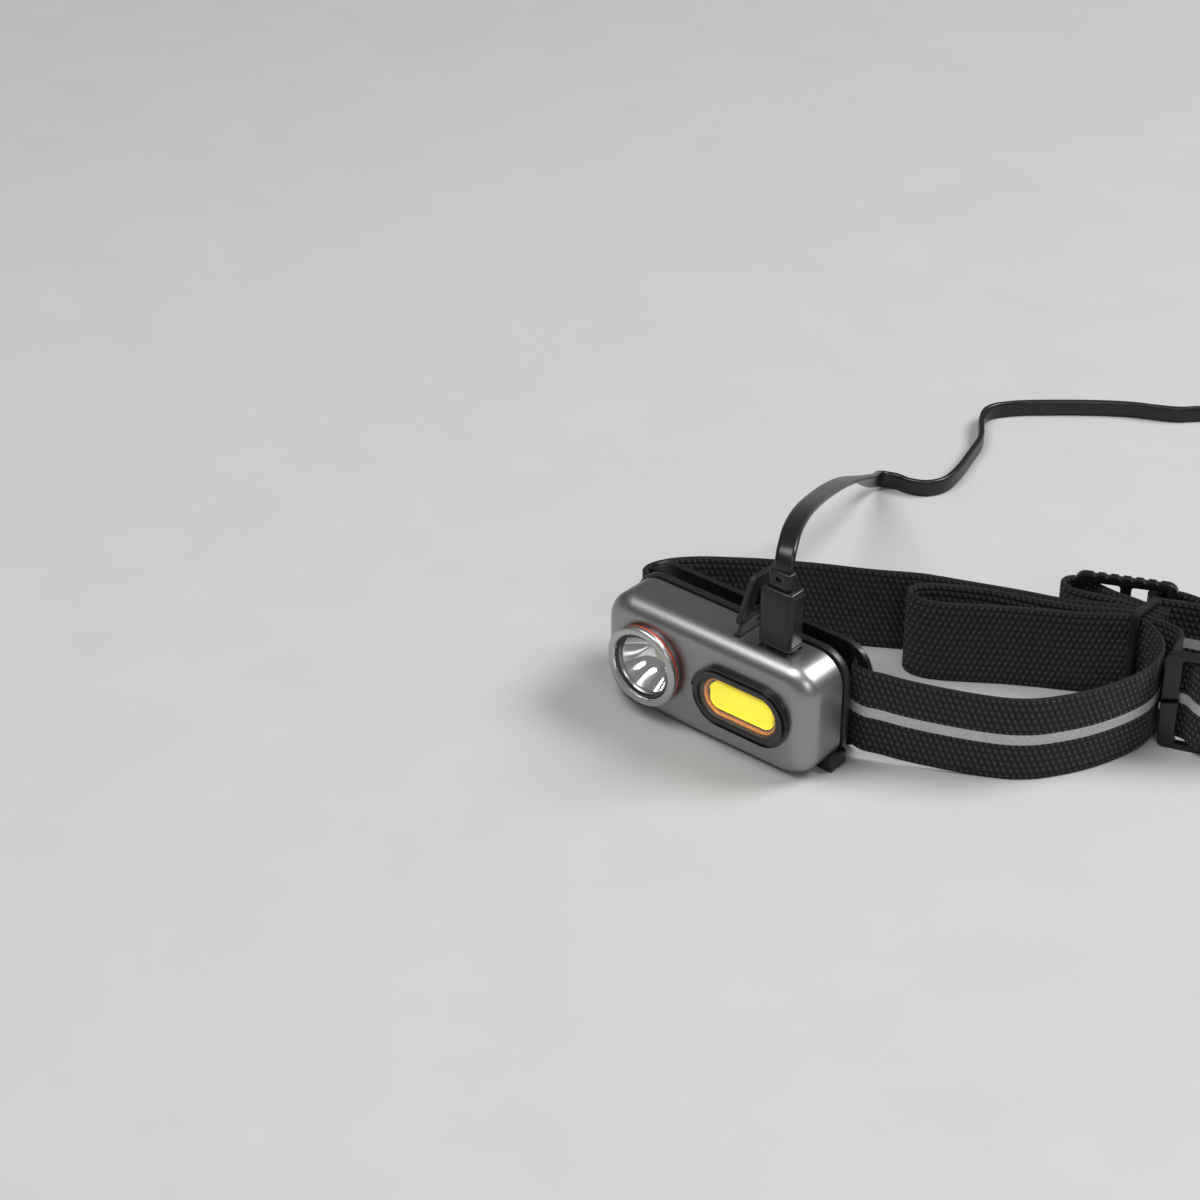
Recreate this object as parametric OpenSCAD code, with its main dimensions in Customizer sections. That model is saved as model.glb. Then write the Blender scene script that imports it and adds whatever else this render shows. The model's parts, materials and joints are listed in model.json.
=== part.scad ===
// Headlamp with an elastic head strap, a tilting lamp head and a charging cable plugged in.
// Millimetres, +Z up. x = 0 is the middle of the head, the lamps look towards -Y.

/* [Head] */
// width of the lamp head over its rounded ends
head_w = 70; // [68:1:90]
// height of the lamp head
head_h = 33; // [32:1:44]
// depth of the front shell from its flat face to its rear rim
shell_d = 14; // [13.5:0.5:18]
// corner radius of the head seen from the front
corner_r = 8.5; // [7:0.5:10]
// rounding of the front edge above and below
front_edge_r = 4.6; // [3:0.2:4.8]
// rounding of the front edge at the two ends
end_edge_r = 6; // [4:0.5:6.5]
// wall thickness of the shell
wall_t = 1.6; // [1.2:0.1:1.8]
// thickness of the shell's front wall
front_t = 1.8; // [1.4:0.1:2]

/* [Spot lamp] */
// outer diameter of the round bezel
spot_d = 23.3; // [20:0.1:25]
// distance of the spot lamp's centre to the left of the middle
spot_shift = 18.9; // [18.5:0.1:20]
// how far the round bezel stands proud of the shell
spot_proud = 3.4; // [2.8:0.1:5]
// clear diameter inside the round bezel
spot_bore = 18; // [16:0.1:18.6]

/* [Flood lamp] */
// width of the long bezel
flood_w = 31.6; // [29:0.1:33]
// height of the long bezel
flood_h = 17.6; // [16.5:0.1:20]
// distance of the flood lamp's centre to the right of the middle
flood_shift = 13; // [12:0.1:14]
// how far the long bezel stands proud of the shell
flood_proud = 1.9; // [1.7:0.1:3]
// width of the light-emitting panel
cob_w = 21; // [15:0.5:21]
// height of the light-emitting panel
cob_h = 8; // [5:0.5:8]
// corner radius of the yellow light panel
cob_r = 3; // [0.5:0.5:3.5]

/* [Rear cover and tilt hinge] */
// depth of the rear cover's band
cover_d = 2.8; // [2.6:0.1:3.4]
// how far the cover's band stands proud of the shell
cover_lip = 0.45; // [0:0.05:0.6]
// thickness of the gasket between shell and cover
gasket_t = 0.8; // [0.5:0.1:1.2]
// radius of the hinge pin
pin_r = 1.1; // [0.8:0.05:1.3]
// radius of the cover's hinge barrel
barrel_r = 2.4; // [2:0.1:2.45]
// radius of the bracket's hinge ears
ear_r = 2.9; // [2.4:0.1:2.9]
// thickness of the bracket plate
bracket_t = 1.5; // [1.2:0.1:2]
// how far the bracket reaches past the head at each end
bracket_side = 2.5; // [2:0.5:4]

/* [Inside the head] */
// thickness of the printed boards
board_t = 1; // [0.8:0.1:1.4]
// width of the battery cell
battery_w = 52; // [40:1:54]
// height of the battery cell
battery_h = 20; // [15:0.5:20.5]
// diameter of the spot light's small board
led_board_d = 16; // [14:0.5:16.5]

/* [Button] */
// diameter of the push button at the end of the head
button_d = 6.5; // [5:0.5:7]
// travel of the push button
button_travel = 0.7; // [0.3:0.1:0.7]

/* [Charging plug] */
// width of the plug's moulded body
plug_w = 10.6; // [9:0.1:10.8]
// thickness of the plug's moulded body
plug_d = 6.5; // [5:0.1:7]
// height of the plug's moulded body
plug_h = 17.4; // [12:0.2:21]
// width of the plug's metal tongue
tongue_w = 6.85; // [6.5:0.05:7]
// thickness of the plug's metal tongue
tongue_d = 1.8; // [1.6:0.05:2]
// length of the plug's metal tongue
tongue_l = 6.4; // [5:0.1:6.8]
// height of the tapered sleeve above the plug body
relief_h = 4.7; // [3:0.1:6]

/* [Port cover] */
// length of the rubber flap
flap_l = 19.5; // [15:0.5:19.5]
// thickness of the rubber flap
flap_t = 1.6; // [1:0.1:1.8]
// angle at which the flap stands open
flap_open = 74; // [60:1:76]

/* [Strap] */
// width of the elastic strap
strap_w = 25; // [20:1:30]
// thickness of the elastic strap
strap_t = 1.2; // [0.8:0.1:1.3]
// height of the rear buckle over the strap width
buckle_extra = 6.2; // [5.6:0.1:9]
// length of the rear buckle
buckle_l = 28; // [27:0.5:30]
// length of the three-bar slider
slider_l = 27; // [26:0.5:30]
// thickness of the elastic keeper round the bunch
keeper_t = 1.6; // [1:0.1:1.7]

/* [Cable] */
// width of the flat cable
cable_w = 5.3; // [4:0.1:6]
// thickness of the flat cable
cable_t = 1.8; // [1.2:0.1:2]
// mean diameter of the coil of spare cable
coil_d = 55; // [50:1:60]

/* [Fits] */
// clearance of a piece set into another
fit_gap = 0.15; // [0.1:0.05:0.2]
// clearance between pieces that move past each other
run_gap = 0.3; // [0.2:0.05:0.35]

/* [Hidden] */
$fn = 64;
half_w = head_w / 2;
front_y = -9;
rim_y = front_y + shell_d;
cover_y = rim_y + gasket_t;
back_y = cover_y + cover_d;
cover_wall = 1.4;
hinge_y = back_y + 2.2;
hinge_z = 4.5;
plate_y = hinge_y + 2.7;
plate_w = head_w + 2 * bracket_side;
plate_z0 = 0.5;
plate_z1 = max(head_h, strap_w + 5.5);
ear_in = 21;
ear_out = 27.5;
slot_in = plate_w / 2 - 7;
slot_w = 3;
slot_z0 = 2.5;
slot_h = strap_w + 1.4;
mid_z = head_h / 2;
boss_x = half_w - 4.5;
boss_z = 4.6;
boss_r = 2.2;
lens_t = 1.1;
collar_h = 0.9;
tube_r = spot_bore / 2 + 1.2;
spot_seat_y = front_y - 0.9;
led_y = -3;
led_t = 1.4;
board_y = led_y + led_t;
board_w = 2 * (boss_x - boss_r - 0.5);
cell_y = board_y + board_t;
cell_t = 6;
button_y = rim_y - 4;
port_x = 18.5;
port_y = -0.4;
socket_w = tongue_w + 0.95;
socket_d = tongue_d + 1;
socket_z0 = head_h - 7.6;
socket_z1 = head_h - wall_t - 0.2;
plug_z = head_h + 0.9;
relief_z = plug_z + plug_h;
cord_z = relief_z + relief_h;
flap_x = 7;
flap_z = head_h + 0.4;
bead_r = 0.9;
shift_x = (head_w - 70) / 2;
shift_y = back_y - 8.6;
shift_z = cord_z - 56;
buckle_at = [66.5, 91];
buckle_turn = 25;
buckle_t = 2.2;
rail_z = 2.4;
slider_at = [92.5, 69];
slider_turn = 20;
slider_t = 2.6;
slider_rail = 1.7;
keeper_at = 76;
coil_at = [54, 231];
coil_in = coil_d / 2 - 3;
coil_out = coil_d / 2 + 2.1;
usb_w = 15.6;
usb_l = 24;
usb_h = 7.6;

// ---------- routes: [x, y, height of the lower edge], chosen by hand along the strap ----------
// the strap ends follow the head when its width or depth changes
function fit_x(x) = x + shift_x * min(1, max(-1, x / 34));
function fit(p) = [fit_x(p[0]), p[1] + shift_y, p[2]];
function fit_all(r) = [for (p = r) fit(p)];

rear_route = [
  [0, 16.1, 2.8], [-14, 16.1, 2.8], [-26, 16.1, 2.8], [-29.6, 16.2, 2.8], [-31.3, 15.6, 2.8],
  [-32, 14.25, 2.8], [-32.7, 12.9, 2.8], [-34.4, 12.2, 2.9], [-37, 12, 3], [-38.9, 13.2, 3],
  [-39.5, 15.5, 3], [-38.8, 18.4, 3], [-36.8, 22.2, 3], [-33.6, 26.3, 2.9], [-30, 30.7, 2.4],
  [-26, 35, 1.8], [-20.5, 40.7, 1], [-11.5, 47.4, 0.5], [-3.4, 53, 0], [5.4, 57.7, 0],
  [16.4, 64.5, 0], [22.5, 67.3, 0], [28.8, 69.8, 0], [39.1, 74, 0], [46, 76.6, 0],
  [52.7, 78.6, 0.2], [60, 81.2, 0.8], [68, 84.2, 1.6], [73.5, 85.5, 1.9], [78, 85.9, 1.9],
  [81, 86, 1.9]
];
front_route = [
  [0, 16.1, 2.8], [14, 16.1, 2.8], [26, 16.1, 2.8], [29.6, 16.2, 2.8], [31.3, 15.6, 2.8],
  [32, 14.25, 2.8], [32.7, 12.9, 2.8], [34.4, 12.2, 2.8], [37.6, 12.3, 2.5], [41.5, 14, 2.2],
  [48, 16.8, 1.4], [57.5, 21.4, 0.6], [67, 26.5, 0], [73.5, 30.6, 0], [78.6, 36, 0],
  [84.6, 46, 0], [88.6, 57, 0], [90, 66, 0], [88.9, 73, 0.2], [86.6, 77.4, 0.6],
  [83, 80.3, 1.2], [79.5, 81.8, 1.8]
];
fold_route = [
  [79.5, 81.8, 1.8], [76, 82.1, 1.9], [72.5, 81.2, 1.8], [67, 78.6, 1], [62, 76.2, 0.3],
  [53.2, 71.4, 0], [44, 65.7, 0], [35, 59.4, 0], [29.5, 55.9, 0], [25.2, 54.3, 0],
  [21.4, 54.6, 0], [19.2, 56.7, 0], [19.8, 59.8, 0], [23.1, 63.2, 0], [29.2, 66.9, 0],
  [35.9, 70.3, 0], [41.5, 72.5, 0], [47, 74.4, 0], [54, 76.6, 0.2], [61, 79, 0.6],
  [67, 81.5, 1.3], [72.5, 83.5, 1.9], [76, 84, 1.9], [80, 84.3, 1.9]
];
wrap_route = [
  [80.5, 88.2, 2], [76, 87.7, 2], [71.5, 86.7, 2.2], [66, 85, 2.7], [60, 82.9, 2.8],
  [55.5, 81.8, 2.8], [52.4, 82.2, 2.8], [50.8, 84.2, 2.8], [51.2, 86.6, 2.8], [53.2, 88.2, 2.8],
  [56.8, 88.7, 2.8], [61, 88.1, 2.8], [65.5, 87.8, 2.8], [71, 88.8, 2.4], [76, 89.5, 2],
  [80.5, 90, 2]
];
adjust_route = [
  [80, 84.3, 1.9], [84.2, 84.6, 1.9], [87.8, 83.7, 2], [90, 81, 2.1], [91, 77.2, 2.2],
  [92.2, 73.8, 2.2], [95.2, 72.6, 2.2], [98.6, 72.6, 2.2], [101.6, 71, 2.2], [104.6, 70.2, 2.2],
  [107.6, 71.2, 2.2], [109.4, 74.4, 2.2], [111.2, 77.9, 2.2], [115.2, 79.9, 2.2],
  [119.6, 81.8, 2.2], [123.4, 84.6, 2], [125.2, 89, 2], [123, 94, 2], [116.4, 98, 2],
  [106, 100.2, 2], [95, 100.8, 2.2], [86.5, 100.2, 2.6], [79.6, 99.4, 2.8], [75.6, 97.9, 2.8],
  [73, 96.3, 2.8], [72.1, 94.4, 2.8], [73.4, 92.9, 2.8], [76.2, 92.9, 2.8], [80.4, 94.7, 2.8],
  [86, 97, 2.8], [90.5, 98.1, 2.8]
];
// the cable's middle line and, last, how far it has turned from lying flat to standing on edge
cable_route = [
  [18.5, -0.4, 56, 0], [18.5, 0.2, 59, 0], [17.2, 2.9, 61.2, 0], [13.2, 10.4, 62, 0],
  [5.6, 25.7, 58.2, 0], [-6.9, 51.7, 47.7, 0.05], [-20, 79, 34.7, 0.12],
  [-31.3, 102.5, 21.6, 0.3], [-39.6, 120, 10.8, 0.6], [-44.2, 129.6, 5.4, 0.85],
  [-44.8, 134, 3.4, 1], [-41.4, 136.6, 2.8, 1], [-36.4, 137, 2.7, 1], [-31.6, 139.6, 2.7, 1],
  [-29.2, 145, 2.7, 1], [-30, 153, 2.7, 1], [-33.6, 166, 2.7, 1], [-37, 176, 2.7, 1],
  [-43.6, 186, 2.7, 1], [-45.6, 193.5, 2.7, 1], [-41.2, 201, 2.7, 1], [-33.6, 208.4, 2.7, 1],
  [-23, 217.4, 2.7, 1], [-13, 224.6, 2.7, 1], [-5, 228.6, 2.7, 1], [1, 232, 2.7, 1],
  [6, 237, 2.7, 1], [13, 243.4, 2.7, 1], [23, 250, 2.7, 1], [34, 255.4, 2.7, 1],
  [46, 258, 2.7, 1]
];

// ---------- swept solids ----------
function spline(a, b, c, d, t) = 0.5 * (2 * b + (c - a) * t
  + (2 * a - 5 * b + 4 * c - d) * t * t + (3 * b - a - 3 * c + d) * t * t * t);
function smooth(r, n) = let (k = len(r) - 1) concat(
  [for (i = [0 : k - 1]) for (j = [0 : n - 1])
    spline(r[max(i - 1, 0)], r[i], r[i + 1], r[min(i + 2, k)], j / n)],
  [r[k]]);
function unit(v) = v / norm(v);
function flat(p) = [p[0], p[1], 0];
function along(r, i) = let (k = len(r) - 1) r[min(i + 1, k)] - r[max(i - 1, 0)];
function ring_faces(rings, m) = concat(
  [for (i = [0 : rings - 2]) for (k = [0 : m - 1])
    [i * m + k, i * m + (k + 1) % m, (i + 1) * m + (k + 1) % m]],
  [for (i = [0 : rings - 2]) for (k = [0 : m - 1])
    [i * m + k, (i + 1) * m + (k + 1) % m, (i + 1) * m + k]],
  [[for (k = [0 : m - 1]) m - 1 - k]],
  [[for (k = [0 : m - 1]) (rings - 1) * m + k]]);

// one length of strap standing on edge along a route
module strap(route, steps) {
  r = smooth(fit_all(route), steps);
  side = [for (i = [0 : len(r) - 1]) let (d = unit(flat(along(r, i)))) [-d[1], d[0], 0]];
  corner = [[1, 0], [-1, 0], [-1, 1], [1, 1]];
  points = [for (i = [0 : len(r) - 1]) for (c = corner)
    [r[i][0], r[i][1], r[i][2]] + side[i] * c[0] * strap_t / 2 + [0, 0, c[1] * strap_w]];
  polyhedron(points = points, faces = ring_faces(len(r), 4), convexity = 10);
}

// the flat cable: rings of eight points, turned from flat to on edge along the way
module flat_cable(route, steps) {
  r = smooth(route, steps);
  line = [for (p = r) [p[0], p[1], p[2]]];
  guide = [for (p = r) (1 - p[3]) * [1, 0.2, 0] + p[3] * [0, 0, 1]];
  round_x = [0.5, 0.5, 0.34, -0.34, -0.5, -0.5, -0.34, 0.34];
  round_y = [-0.2, 0.2, 0.5, 0.5, 0.2, -0.2, -0.5, -0.5];
  points = [for (i = [0 : len(r) - 1])
    let (t = i == 0 ? [0, 0, 1] : unit(along(line, i)),
      wide = unit(guide[i] - (guide[i] * t) * t),
      thin = cross(t, wide))
    for (k = [0 : 7])
      line[i] + wide * round_x[k] * cable_w + thin * round_y[k] * cable_t];
  polyhedron(points = points, faces = ring_faces(len(r), 8), convexity = 10);
}

// ---------- flat outlines and simple bodies ----------
module rounded(w, h, r) {
  square([w - 2 * r, h], center = true);
  square([w, h - 2 * r], center = true);
  for (x = [-1, 1], y = [-1, 1])
    translate([x * (w / 2 - r), y * (h / 2 - r)])
      circle(r = r);
}

module stadium(w, h) {
  square([w - h, h], center = true);
  for (x = [-1, 1])
    translate([x * (w - h) / 2, 0])
      circle(d = h);
}

// an outline in the XZ plane carried from y0 to y1
module across(y0, y1) {
  translate([0, y1, 0])
    rotate([90, 0, 0])
      linear_extrude(y1 - y0)
        children();
}

// a round body along Y from y0 to y1
module rod_y(r, y0, y1) {
  translate([0, y1, 0])
    rotate([90, 0, 0])
      cylinder(r = r, h = y1 - y0);
}

// a round body along X from x0 to x1
module rod_x(r, x0, x1) {
  translate([x0, 0, 0])
    rotate([0, 90, 0])
      cylinder(r = r, h = x1 - x0);
}

// head outline with rounded front edges; inset makes the same form smaller
module head_form(inset, y0, y1) {
  w = head_w - 2 * inset;
  h = head_h - 2 * inset;
  er = max(end_edge_r - inset, 0.5);
  fr = max(front_edge_r - inset, 0.5);
  intersection() {
    translate([0, 0, mid_z])
      across(y0, y1)
        rounded(w, h, corner_r - inset);
    translate([0, 0, inset - 1])
      linear_extrude(h + 2)
        translate([0, (y0 + y1) / 2 + 10])
          rounded(w, y1 - y0 + 20, er);
    translate([-half_w - 1, (y0 + y1) / 2 + 10, mid_z])
      rotate([0, 90, 0])
        linear_extrude(head_w + 2)
          rotate([0, 0, 90])
            rounded(y1 - y0 + 20, h, fr);
  }
}

// ---------- lamp head ----------
module shell() {
  color([0.09, 0.09, 0.1])
  difference() {
    union() {
      difference() {
        head_form(0, front_y, rim_y);
        head_form(wall_t, front_y + front_t, rim_y + 1);
      }
      translate([-spot_shift, 0, mid_z])
        rod_y(spot_d / 2 - 0.8, front_y - collar_h, front_y + 0.5);
      intersection() {
        head_form(0.4, front_y + 0.4, rim_y);
        for (x = [-1, 1], z = [boss_z, head_h - boss_z])
          translate([x * boss_x, 0, z])
            rod_y(boss_r, front_y + front_t - 0.4, rim_y);
      }
    }
    for (x = [-1, 1], z = [boss_z, head_h - boss_z])
      translate([x * boss_x, 0, z])
        rod_y(0.85, rim_y - 7, rim_y + 1);
    translate([-spot_shift, 0, mid_z])
      rod_y(tube_r + fit_gap, front_y - 1, front_y + front_t + 1);
    translate([flood_shift, 0, mid_z])
      across(front_y - 1, front_y + front_t + 1)
        stadium(flood_w - 3.4 + 2 * fit_gap, flood_h - 3.4 + 2 * fit_gap);
    translate([port_x, port_y, head_h - 0.8])
      linear_extrude(2)
        rounded(9.8, 7.2, 0.8);
    translate([port_x, port_y, head_h - wall_t - 1])
      linear_extrude(wall_t + 2)
        rounded(tongue_w + 0.8, tongue_d + 0.8, 0.5);
    translate([flap_x, 0, flap_z])
      rod_y(bead_r + 0.2, -4.2, rim_y + 1);
    translate([0, button_y, mid_z])
      rod_x(button_d / 2 + 0.2, -half_w - 1, -half_w + wall_t + 1);
  }
}

module gasket() {
  color([0.03, 0.03, 0.03])
  translate([0, 0, mid_z])
    across(rim_y, cover_y)
      difference() {
        rounded(head_w - 0.8, head_h - 0.8, corner_r - 0.4);
        rounded(head_w - 2 * wall_t, head_h - 2 * wall_t, corner_r - wall_t);
        for (x = [-1, 1], z = [-1, 1])
          translate([x * boss_x, z * (mid_z - boss_z)])
            circle(r = 1.1);
      }
}

module rear_cover() {
  lip_h = head_h + cover_lip;
  color([0.07, 0.07, 0.08])
  difference() {
    union() {
      intersection() {
        translate([0, 0, lip_h / 2])
          across(cover_y, back_y)
            rounded(head_w + 2 * cover_lip, lip_h, corner_r);
        cover_side();
      }
      intersection() {
        difference() {
          for (x = [-1, 1])
            translate([x > 0 ? half_w - 4.7 : -half_w - 1, rim_y - 4, 0])
              cube([5.7, back_y - rim_y + 3.4, 4.7]);
          translate([0, 0, mid_z])
            across(-20, cover_y)
              rounded(head_w + 2 * fit_gap, head_h + 2 * fit_gap, corner_r + fit_gap);
        }
        cover_side();
      }
      translate([0, hinge_y, hinge_z])
        rod_x(barrel_r, -ear_in - 2, ear_in + 2);
      translate([-ear_in - 2, back_y - 0.5, hinge_z - barrel_r + 0.3])
        cube([2 * ear_in + 4, hinge_y - back_y + 0.5, 2 * barrel_r - 0.6]);
    }
    translate([0, 0, mid_z])
      across(cover_y - 1, back_y - cover_wall)
        rounded(head_w - 2 * wall_t - 7, head_h - 2 * wall_t - 7, 3);
    translate([0, 0, mid_z])
      across(cover_y - 1, back_y - cover_wall)
        rounded(head_w - 2 * wall_t - 14, head_h - 2 * wall_t - 1, 3);
    for (x = [-1, 1], z = [boss_z, head_h - boss_z])
      translate([x * boss_x, 0, z]) {
        rod_y(1.1, cover_y - 1, back_y + 1);
        rod_y(2.1, back_y - 1.3, back_y + 1);
      }
    for (x = [-1, 1])
      translate([x > 0 ? ear_in - run_gap : -ear_out - 0.4, hinge_y, hinge_z])
        rod_x(ear_r + run_gap, 0, ear_out - ear_in + run_gap + 0.4);
    translate([0, hinge_y, hinge_z])
      rod_x(pin_r + fit_gap, -half_w, half_w);
  }
}

// side outline of the cover: its lower rear edge is rounded so that it can tilt
module cover_side() {
  translate([-half_w - 5, 0, 0])
    rotate([90, 0, 90])
      linear_extrude(head_w + 10) {
        translate([-20, 2])
          square([20 + back_y, head_h + 5]);
        translate([-20, -3])
          square([20 + back_y - 2, 6]);
        translate([back_y - 2, 2])
          circle(r = 2);
      }
}

module cover_screws() {
  color([0.5, 0.5, 0.52])
  for (x = [-1, 1], z = [boss_z, head_h - boss_z])
    translate([x * boss_x, 0, z])
      difference() {
        union() {
          rod_y(0.8, rim_y - 5.5, back_y - 1.2);
          rod_y(1.9, back_y - 1.3, back_y - 0.2);
        }
        translate([-0.25, back_y - 0.7, -1.2])
          cube([0.5, 1, 2.4]);
        translate([-1.2, back_y - 0.7, -0.25])
          cube([2.4, 1, 0.5]);
      }
}

module spot_bezel() {
  r = spot_d / 2;
  f = -front_y;
  color([0.6, 0.6, 0.6])
  translate([-spot_shift, 0, mid_z])
    rotate([90, 0, 0])
      rotate_extrude($fn = 96)
        polygon([
          [spot_bore / 2, f - 1.8], [tube_r, f - 1.8], [tube_r, f + 1.8], [r, f + 1.8],
          [r, f + spot_proud - 0.5], [r - 0.5, f + spot_proud], [r - 1.9, f + spot_proud],
          [spot_bore / 2 + 0.4, f + 2.2], [spot_bore / 2, f + 2]
        ]);
}

module spot_lens() {
  color([0.9, 0.95, 1, 0.4])
  translate([-spot_shift, 0, mid_z])
    rod_y(spot_bore / 2, spot_seat_y - lens_t, spot_seat_y);
}

// coloured ring clamped between the bezel's flange and the shell's collar
module spot_ring() {
  color([0.85, 0.25, 0.08])
  translate([-spot_shift, 0, mid_z])
    difference() {
      rod_y(spot_d / 2 - 0.15, front_y - 1.8, front_y - collar_h);
      rod_y(tube_r, front_y - 3, front_y);
    }
}

// smooth bowl: the rim carries the lens, the neck stands on the light's board
module reflector() {
  r0 = spot_bore / 2;
  b = -spot_seat_y;
  color([0.85, 0.85, 0.87])
  translate([-spot_shift, 0, mid_z])
    rotate([90, 0, 0])
      rotate_extrude($fn = 96)
        polygon([
          [r0, b], [r0, b - 0.7], [r0 - 0.3, b - 0.7], [7.6, 6.7], [6, 4.7], [3.8, 3],
          [2.6, 3], [2.6, 3.5], [4.9, 4.7], [6.8, 6.7], [r0 - 1, b - 0.4], [r0 - 0.7, b]
        ]);
}

module spot_led() {
  color([0.95, 0.9, 0.5])
  translate([-spot_shift, 0, mid_z]) {
    rod_y(1.9, led_y - 0.7, led_y);
    intersection() {
      translate([0, led_y - 0.4, 0])
        sphere(r = 1.5);
      rod_y(3, led_y - 4, led_y);
    }
  }
}

module led_board() {
  color([0.75, 0.75, 0.72])
  translate([-spot_shift, 0, mid_z])
    rod_y(led_board_d / 2, led_y, board_y);
}

module flood_bezel() {
  color([0.06, 0.06, 0.06])
  translate([flood_shift, 0, mid_z])
    difference() {
      union() {
        across(front_y - flood_proud + 0.6, front_y)
          stadium(flood_w, flood_h);
        across(front_y - flood_proud, front_y)
          stadium(flood_w - 1.4, flood_h - 1.4);
        across(front_y - 1, front_y + 0.6)
          stadium(flood_w - 3.4, flood_h - 3.4);
      }
      across(front_y - 9, front_y + 9)
        stadium(flood_w - 6.8, flood_h - 5.8);
      across(front_y - 9, front_y - flood_proud + 0.4)
        stadium(flood_w - 4.6, flood_h - 4.6);
    }
}

module flood_lens() {
  color([0.9, 0.95, 1, 0.4])
  translate([flood_shift, 0, mid_z])
    across(front_y - 1.5, front_y - 0.7)
      stadium(flood_w - 6.8, flood_h - 5.8);
}

module flood_liner() {
  color([0.85, 0.4, 0.15])
  translate([flood_shift, 0, mid_z])
    across(front_y - 0.7, front_y + 0.6)
      difference() {
        stadium(flood_w - 6.8, flood_h - 5.8);
        stadium(flood_w - 8.1, flood_h - 7.1);
      }
}

module cob_panel() {
  color([0.95, 0.8, 0.2])
  translate([flood_shift, 0, mid_z])
    across(front_y - 0.1, front_y + 0.6)
      rounded(cob_w, cob_h, min(cob_r, cob_h / 2 - 0.1));
}

module cob_board() {
  color([0.8, 0.8, 0.8])
  translate([flood_shift, 0, mid_z])
    across(front_y + 0.6, front_y + 1.8)
      stadium(flood_w - 4, flood_h - 4);
}

module main_board() {
  color([0.1, 0.35, 0.2])
  difference() {
    translate([0, 0, mid_z])
      across(board_y, cell_y)
        rounded(board_w, head_h - 2 * wall_t - 2, 1);
    translate([port_x - socket_w / 2 - 0.2, board_y - 1, socket_z0 - 0.2])
      cube([socket_w + 0.4, board_t + 2, 12]);
  }
}

module battery() {
  color([0.7, 0.7, 0.72])
  translate([-battery_w / 2, cell_y, 4])
    cube([battery_w, cell_t, battery_h]);
}

module battery_foam() {
  color([0.2, 0.2, 0.2])
  translate([-battery_w / 2 + 4, cell_y + cell_t, 7])
    cube([battery_w - 8, back_y - cover_wall - cell_y - cell_t, battery_h - 6]);
}

module usb_socket() {
  color([0.7, 0.7, 0.72])
  translate([port_x, port_y, 0]) {
    difference() {
      translate([0, 0, socket_z0])
        linear_extrude(socket_z1 - socket_z0)
          rounded(socket_w, socket_d, 0.6);
      translate([0, 0, socket_z0 + 0.8])
        linear_extrude(20)
          rounded(tongue_w + 0.4, tongue_d + 0.4, 0.4);
    }
    translate([-1.8, -0.25, socket_z0 + 0.4])
      cube([3.6, 0.5, 4]);
  }
  translate([port_x - socket_w / 2 - 0.2, board_y, socket_z0 + 1])
    cube([0.4, board_t, 3]);
  translate([port_x + socket_w / 2 - 0.2, board_y, socket_z0 + 1])
    cube([0.4, board_t, 3]);
}

module button_cap() {
  r = button_d / 2;
  color([0.12, 0.12, 0.12])
  translate([0, button_y, mid_z]) {
    rod_x(r, -half_w - 0.8, -half_w + wall_t + 0.5);
    rod_x(r + 0.4, -half_w + wall_t + 0.2, -half_w + wall_t + 0.8);
    rod_x(1.2, -half_w + wall_t, -half_w + wall_t + 1.4);
  }
}

module tact_switch() {
  x0 = -half_w + wall_t + 2.2;
  y0 = min(button_y - 2, board_y);
  color([0.4, 0.4, 0.42])
  translate([x0, y0, mid_z - 2])
    cube([-board_w / 2 - x0, button_y + 2 - y0, 4]);
}

// rubber flap, drawn lying closed along +X from its hinge bead and then stood open
module port_cover() {
  color([0.05, 0.05, 0.05])
  translate([flap_x, 0, flap_z])
    rotate([0, -flap_open, 0]) {
      rod_y(bead_r, -4, rim_y - 0.2);
      translate([0, -3.4, -0.45])
        cube([3, rim_y + 2.6, 0.9]);
      translate([2.5 + (flap_l - 2.5) / 2, 0.9, 0.2])
        linear_extrude(flap_t)
          rounded(flap_l - 2.5, 9.8, 1.6);
      translate([11.5, 0.5, -0.6])
        linear_extrude(1)
          s_rib(1.7, 0.9);
    }
}

// two open rings joined into an S
module s_rib(r, t) {
  translate([-r, 0])
    difference() {
      circle(r = r + t / 2);
      circle(r = r - t / 2);
      translate([0, -2 * r])
        square([2 * r, 2 * r]);
    }
  translate([r, 0])
    difference() {
      circle(r = r + t / 2);
      circle(r = r - t / 2);
      translate([-2 * r, 0])
        square([2 * r, 2 * r]);
    }
}

// ---------- bracket and strap hardware ----------
module hinge_pin() {
  color([0.75, 0.75, 0.77])
  translate([0, hinge_y, hinge_z])
    rod_x(pin_r, -ear_out, ear_out);
}

module bracket() {
  h = plate_z1 - plate_z0;
  color([0.06, 0.06, 0.06])
  difference() {
    union() {
      translate([0, 0, plate_z0 + h / 2])
        across(plate_y, plate_y + bracket_t)
          rounded(plate_w, h, corner_r);
      for (x = [-ear_out, ear_in])
        translate([x, hinge_y, hinge_z]) {
          rod_x(ear_r, 0, ear_out - ear_in);
          translate([0, 0, -ear_r])
            cube([ear_out - ear_in, plate_y - hinge_y + 0.5, 2 * ear_r]);
        }
    }
    translate([0, hinge_y, hinge_z])
      rod_x(pin_r, -ear_out - 1, ear_out + 1);
    for (x = [-1, 1])
      translate([x * (slot_in + slot_w / 2), 0, slot_z0 + slot_h / 2])
        across(plate_y - 1, plate_y + bracket_t + 1)
          rounded(slot_w, slot_h, 0.8);
    translate([0, 0, plate_z1 - 9])
      across(plate_y - 1, plate_y + 0.5)
        rounded(2 * slot_in - 8, 8, 2);
  }
}

module head_strap_rear() {
  color([0.13, 0.13, 0.14])
    strap(rear_route, 3);
}

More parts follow.
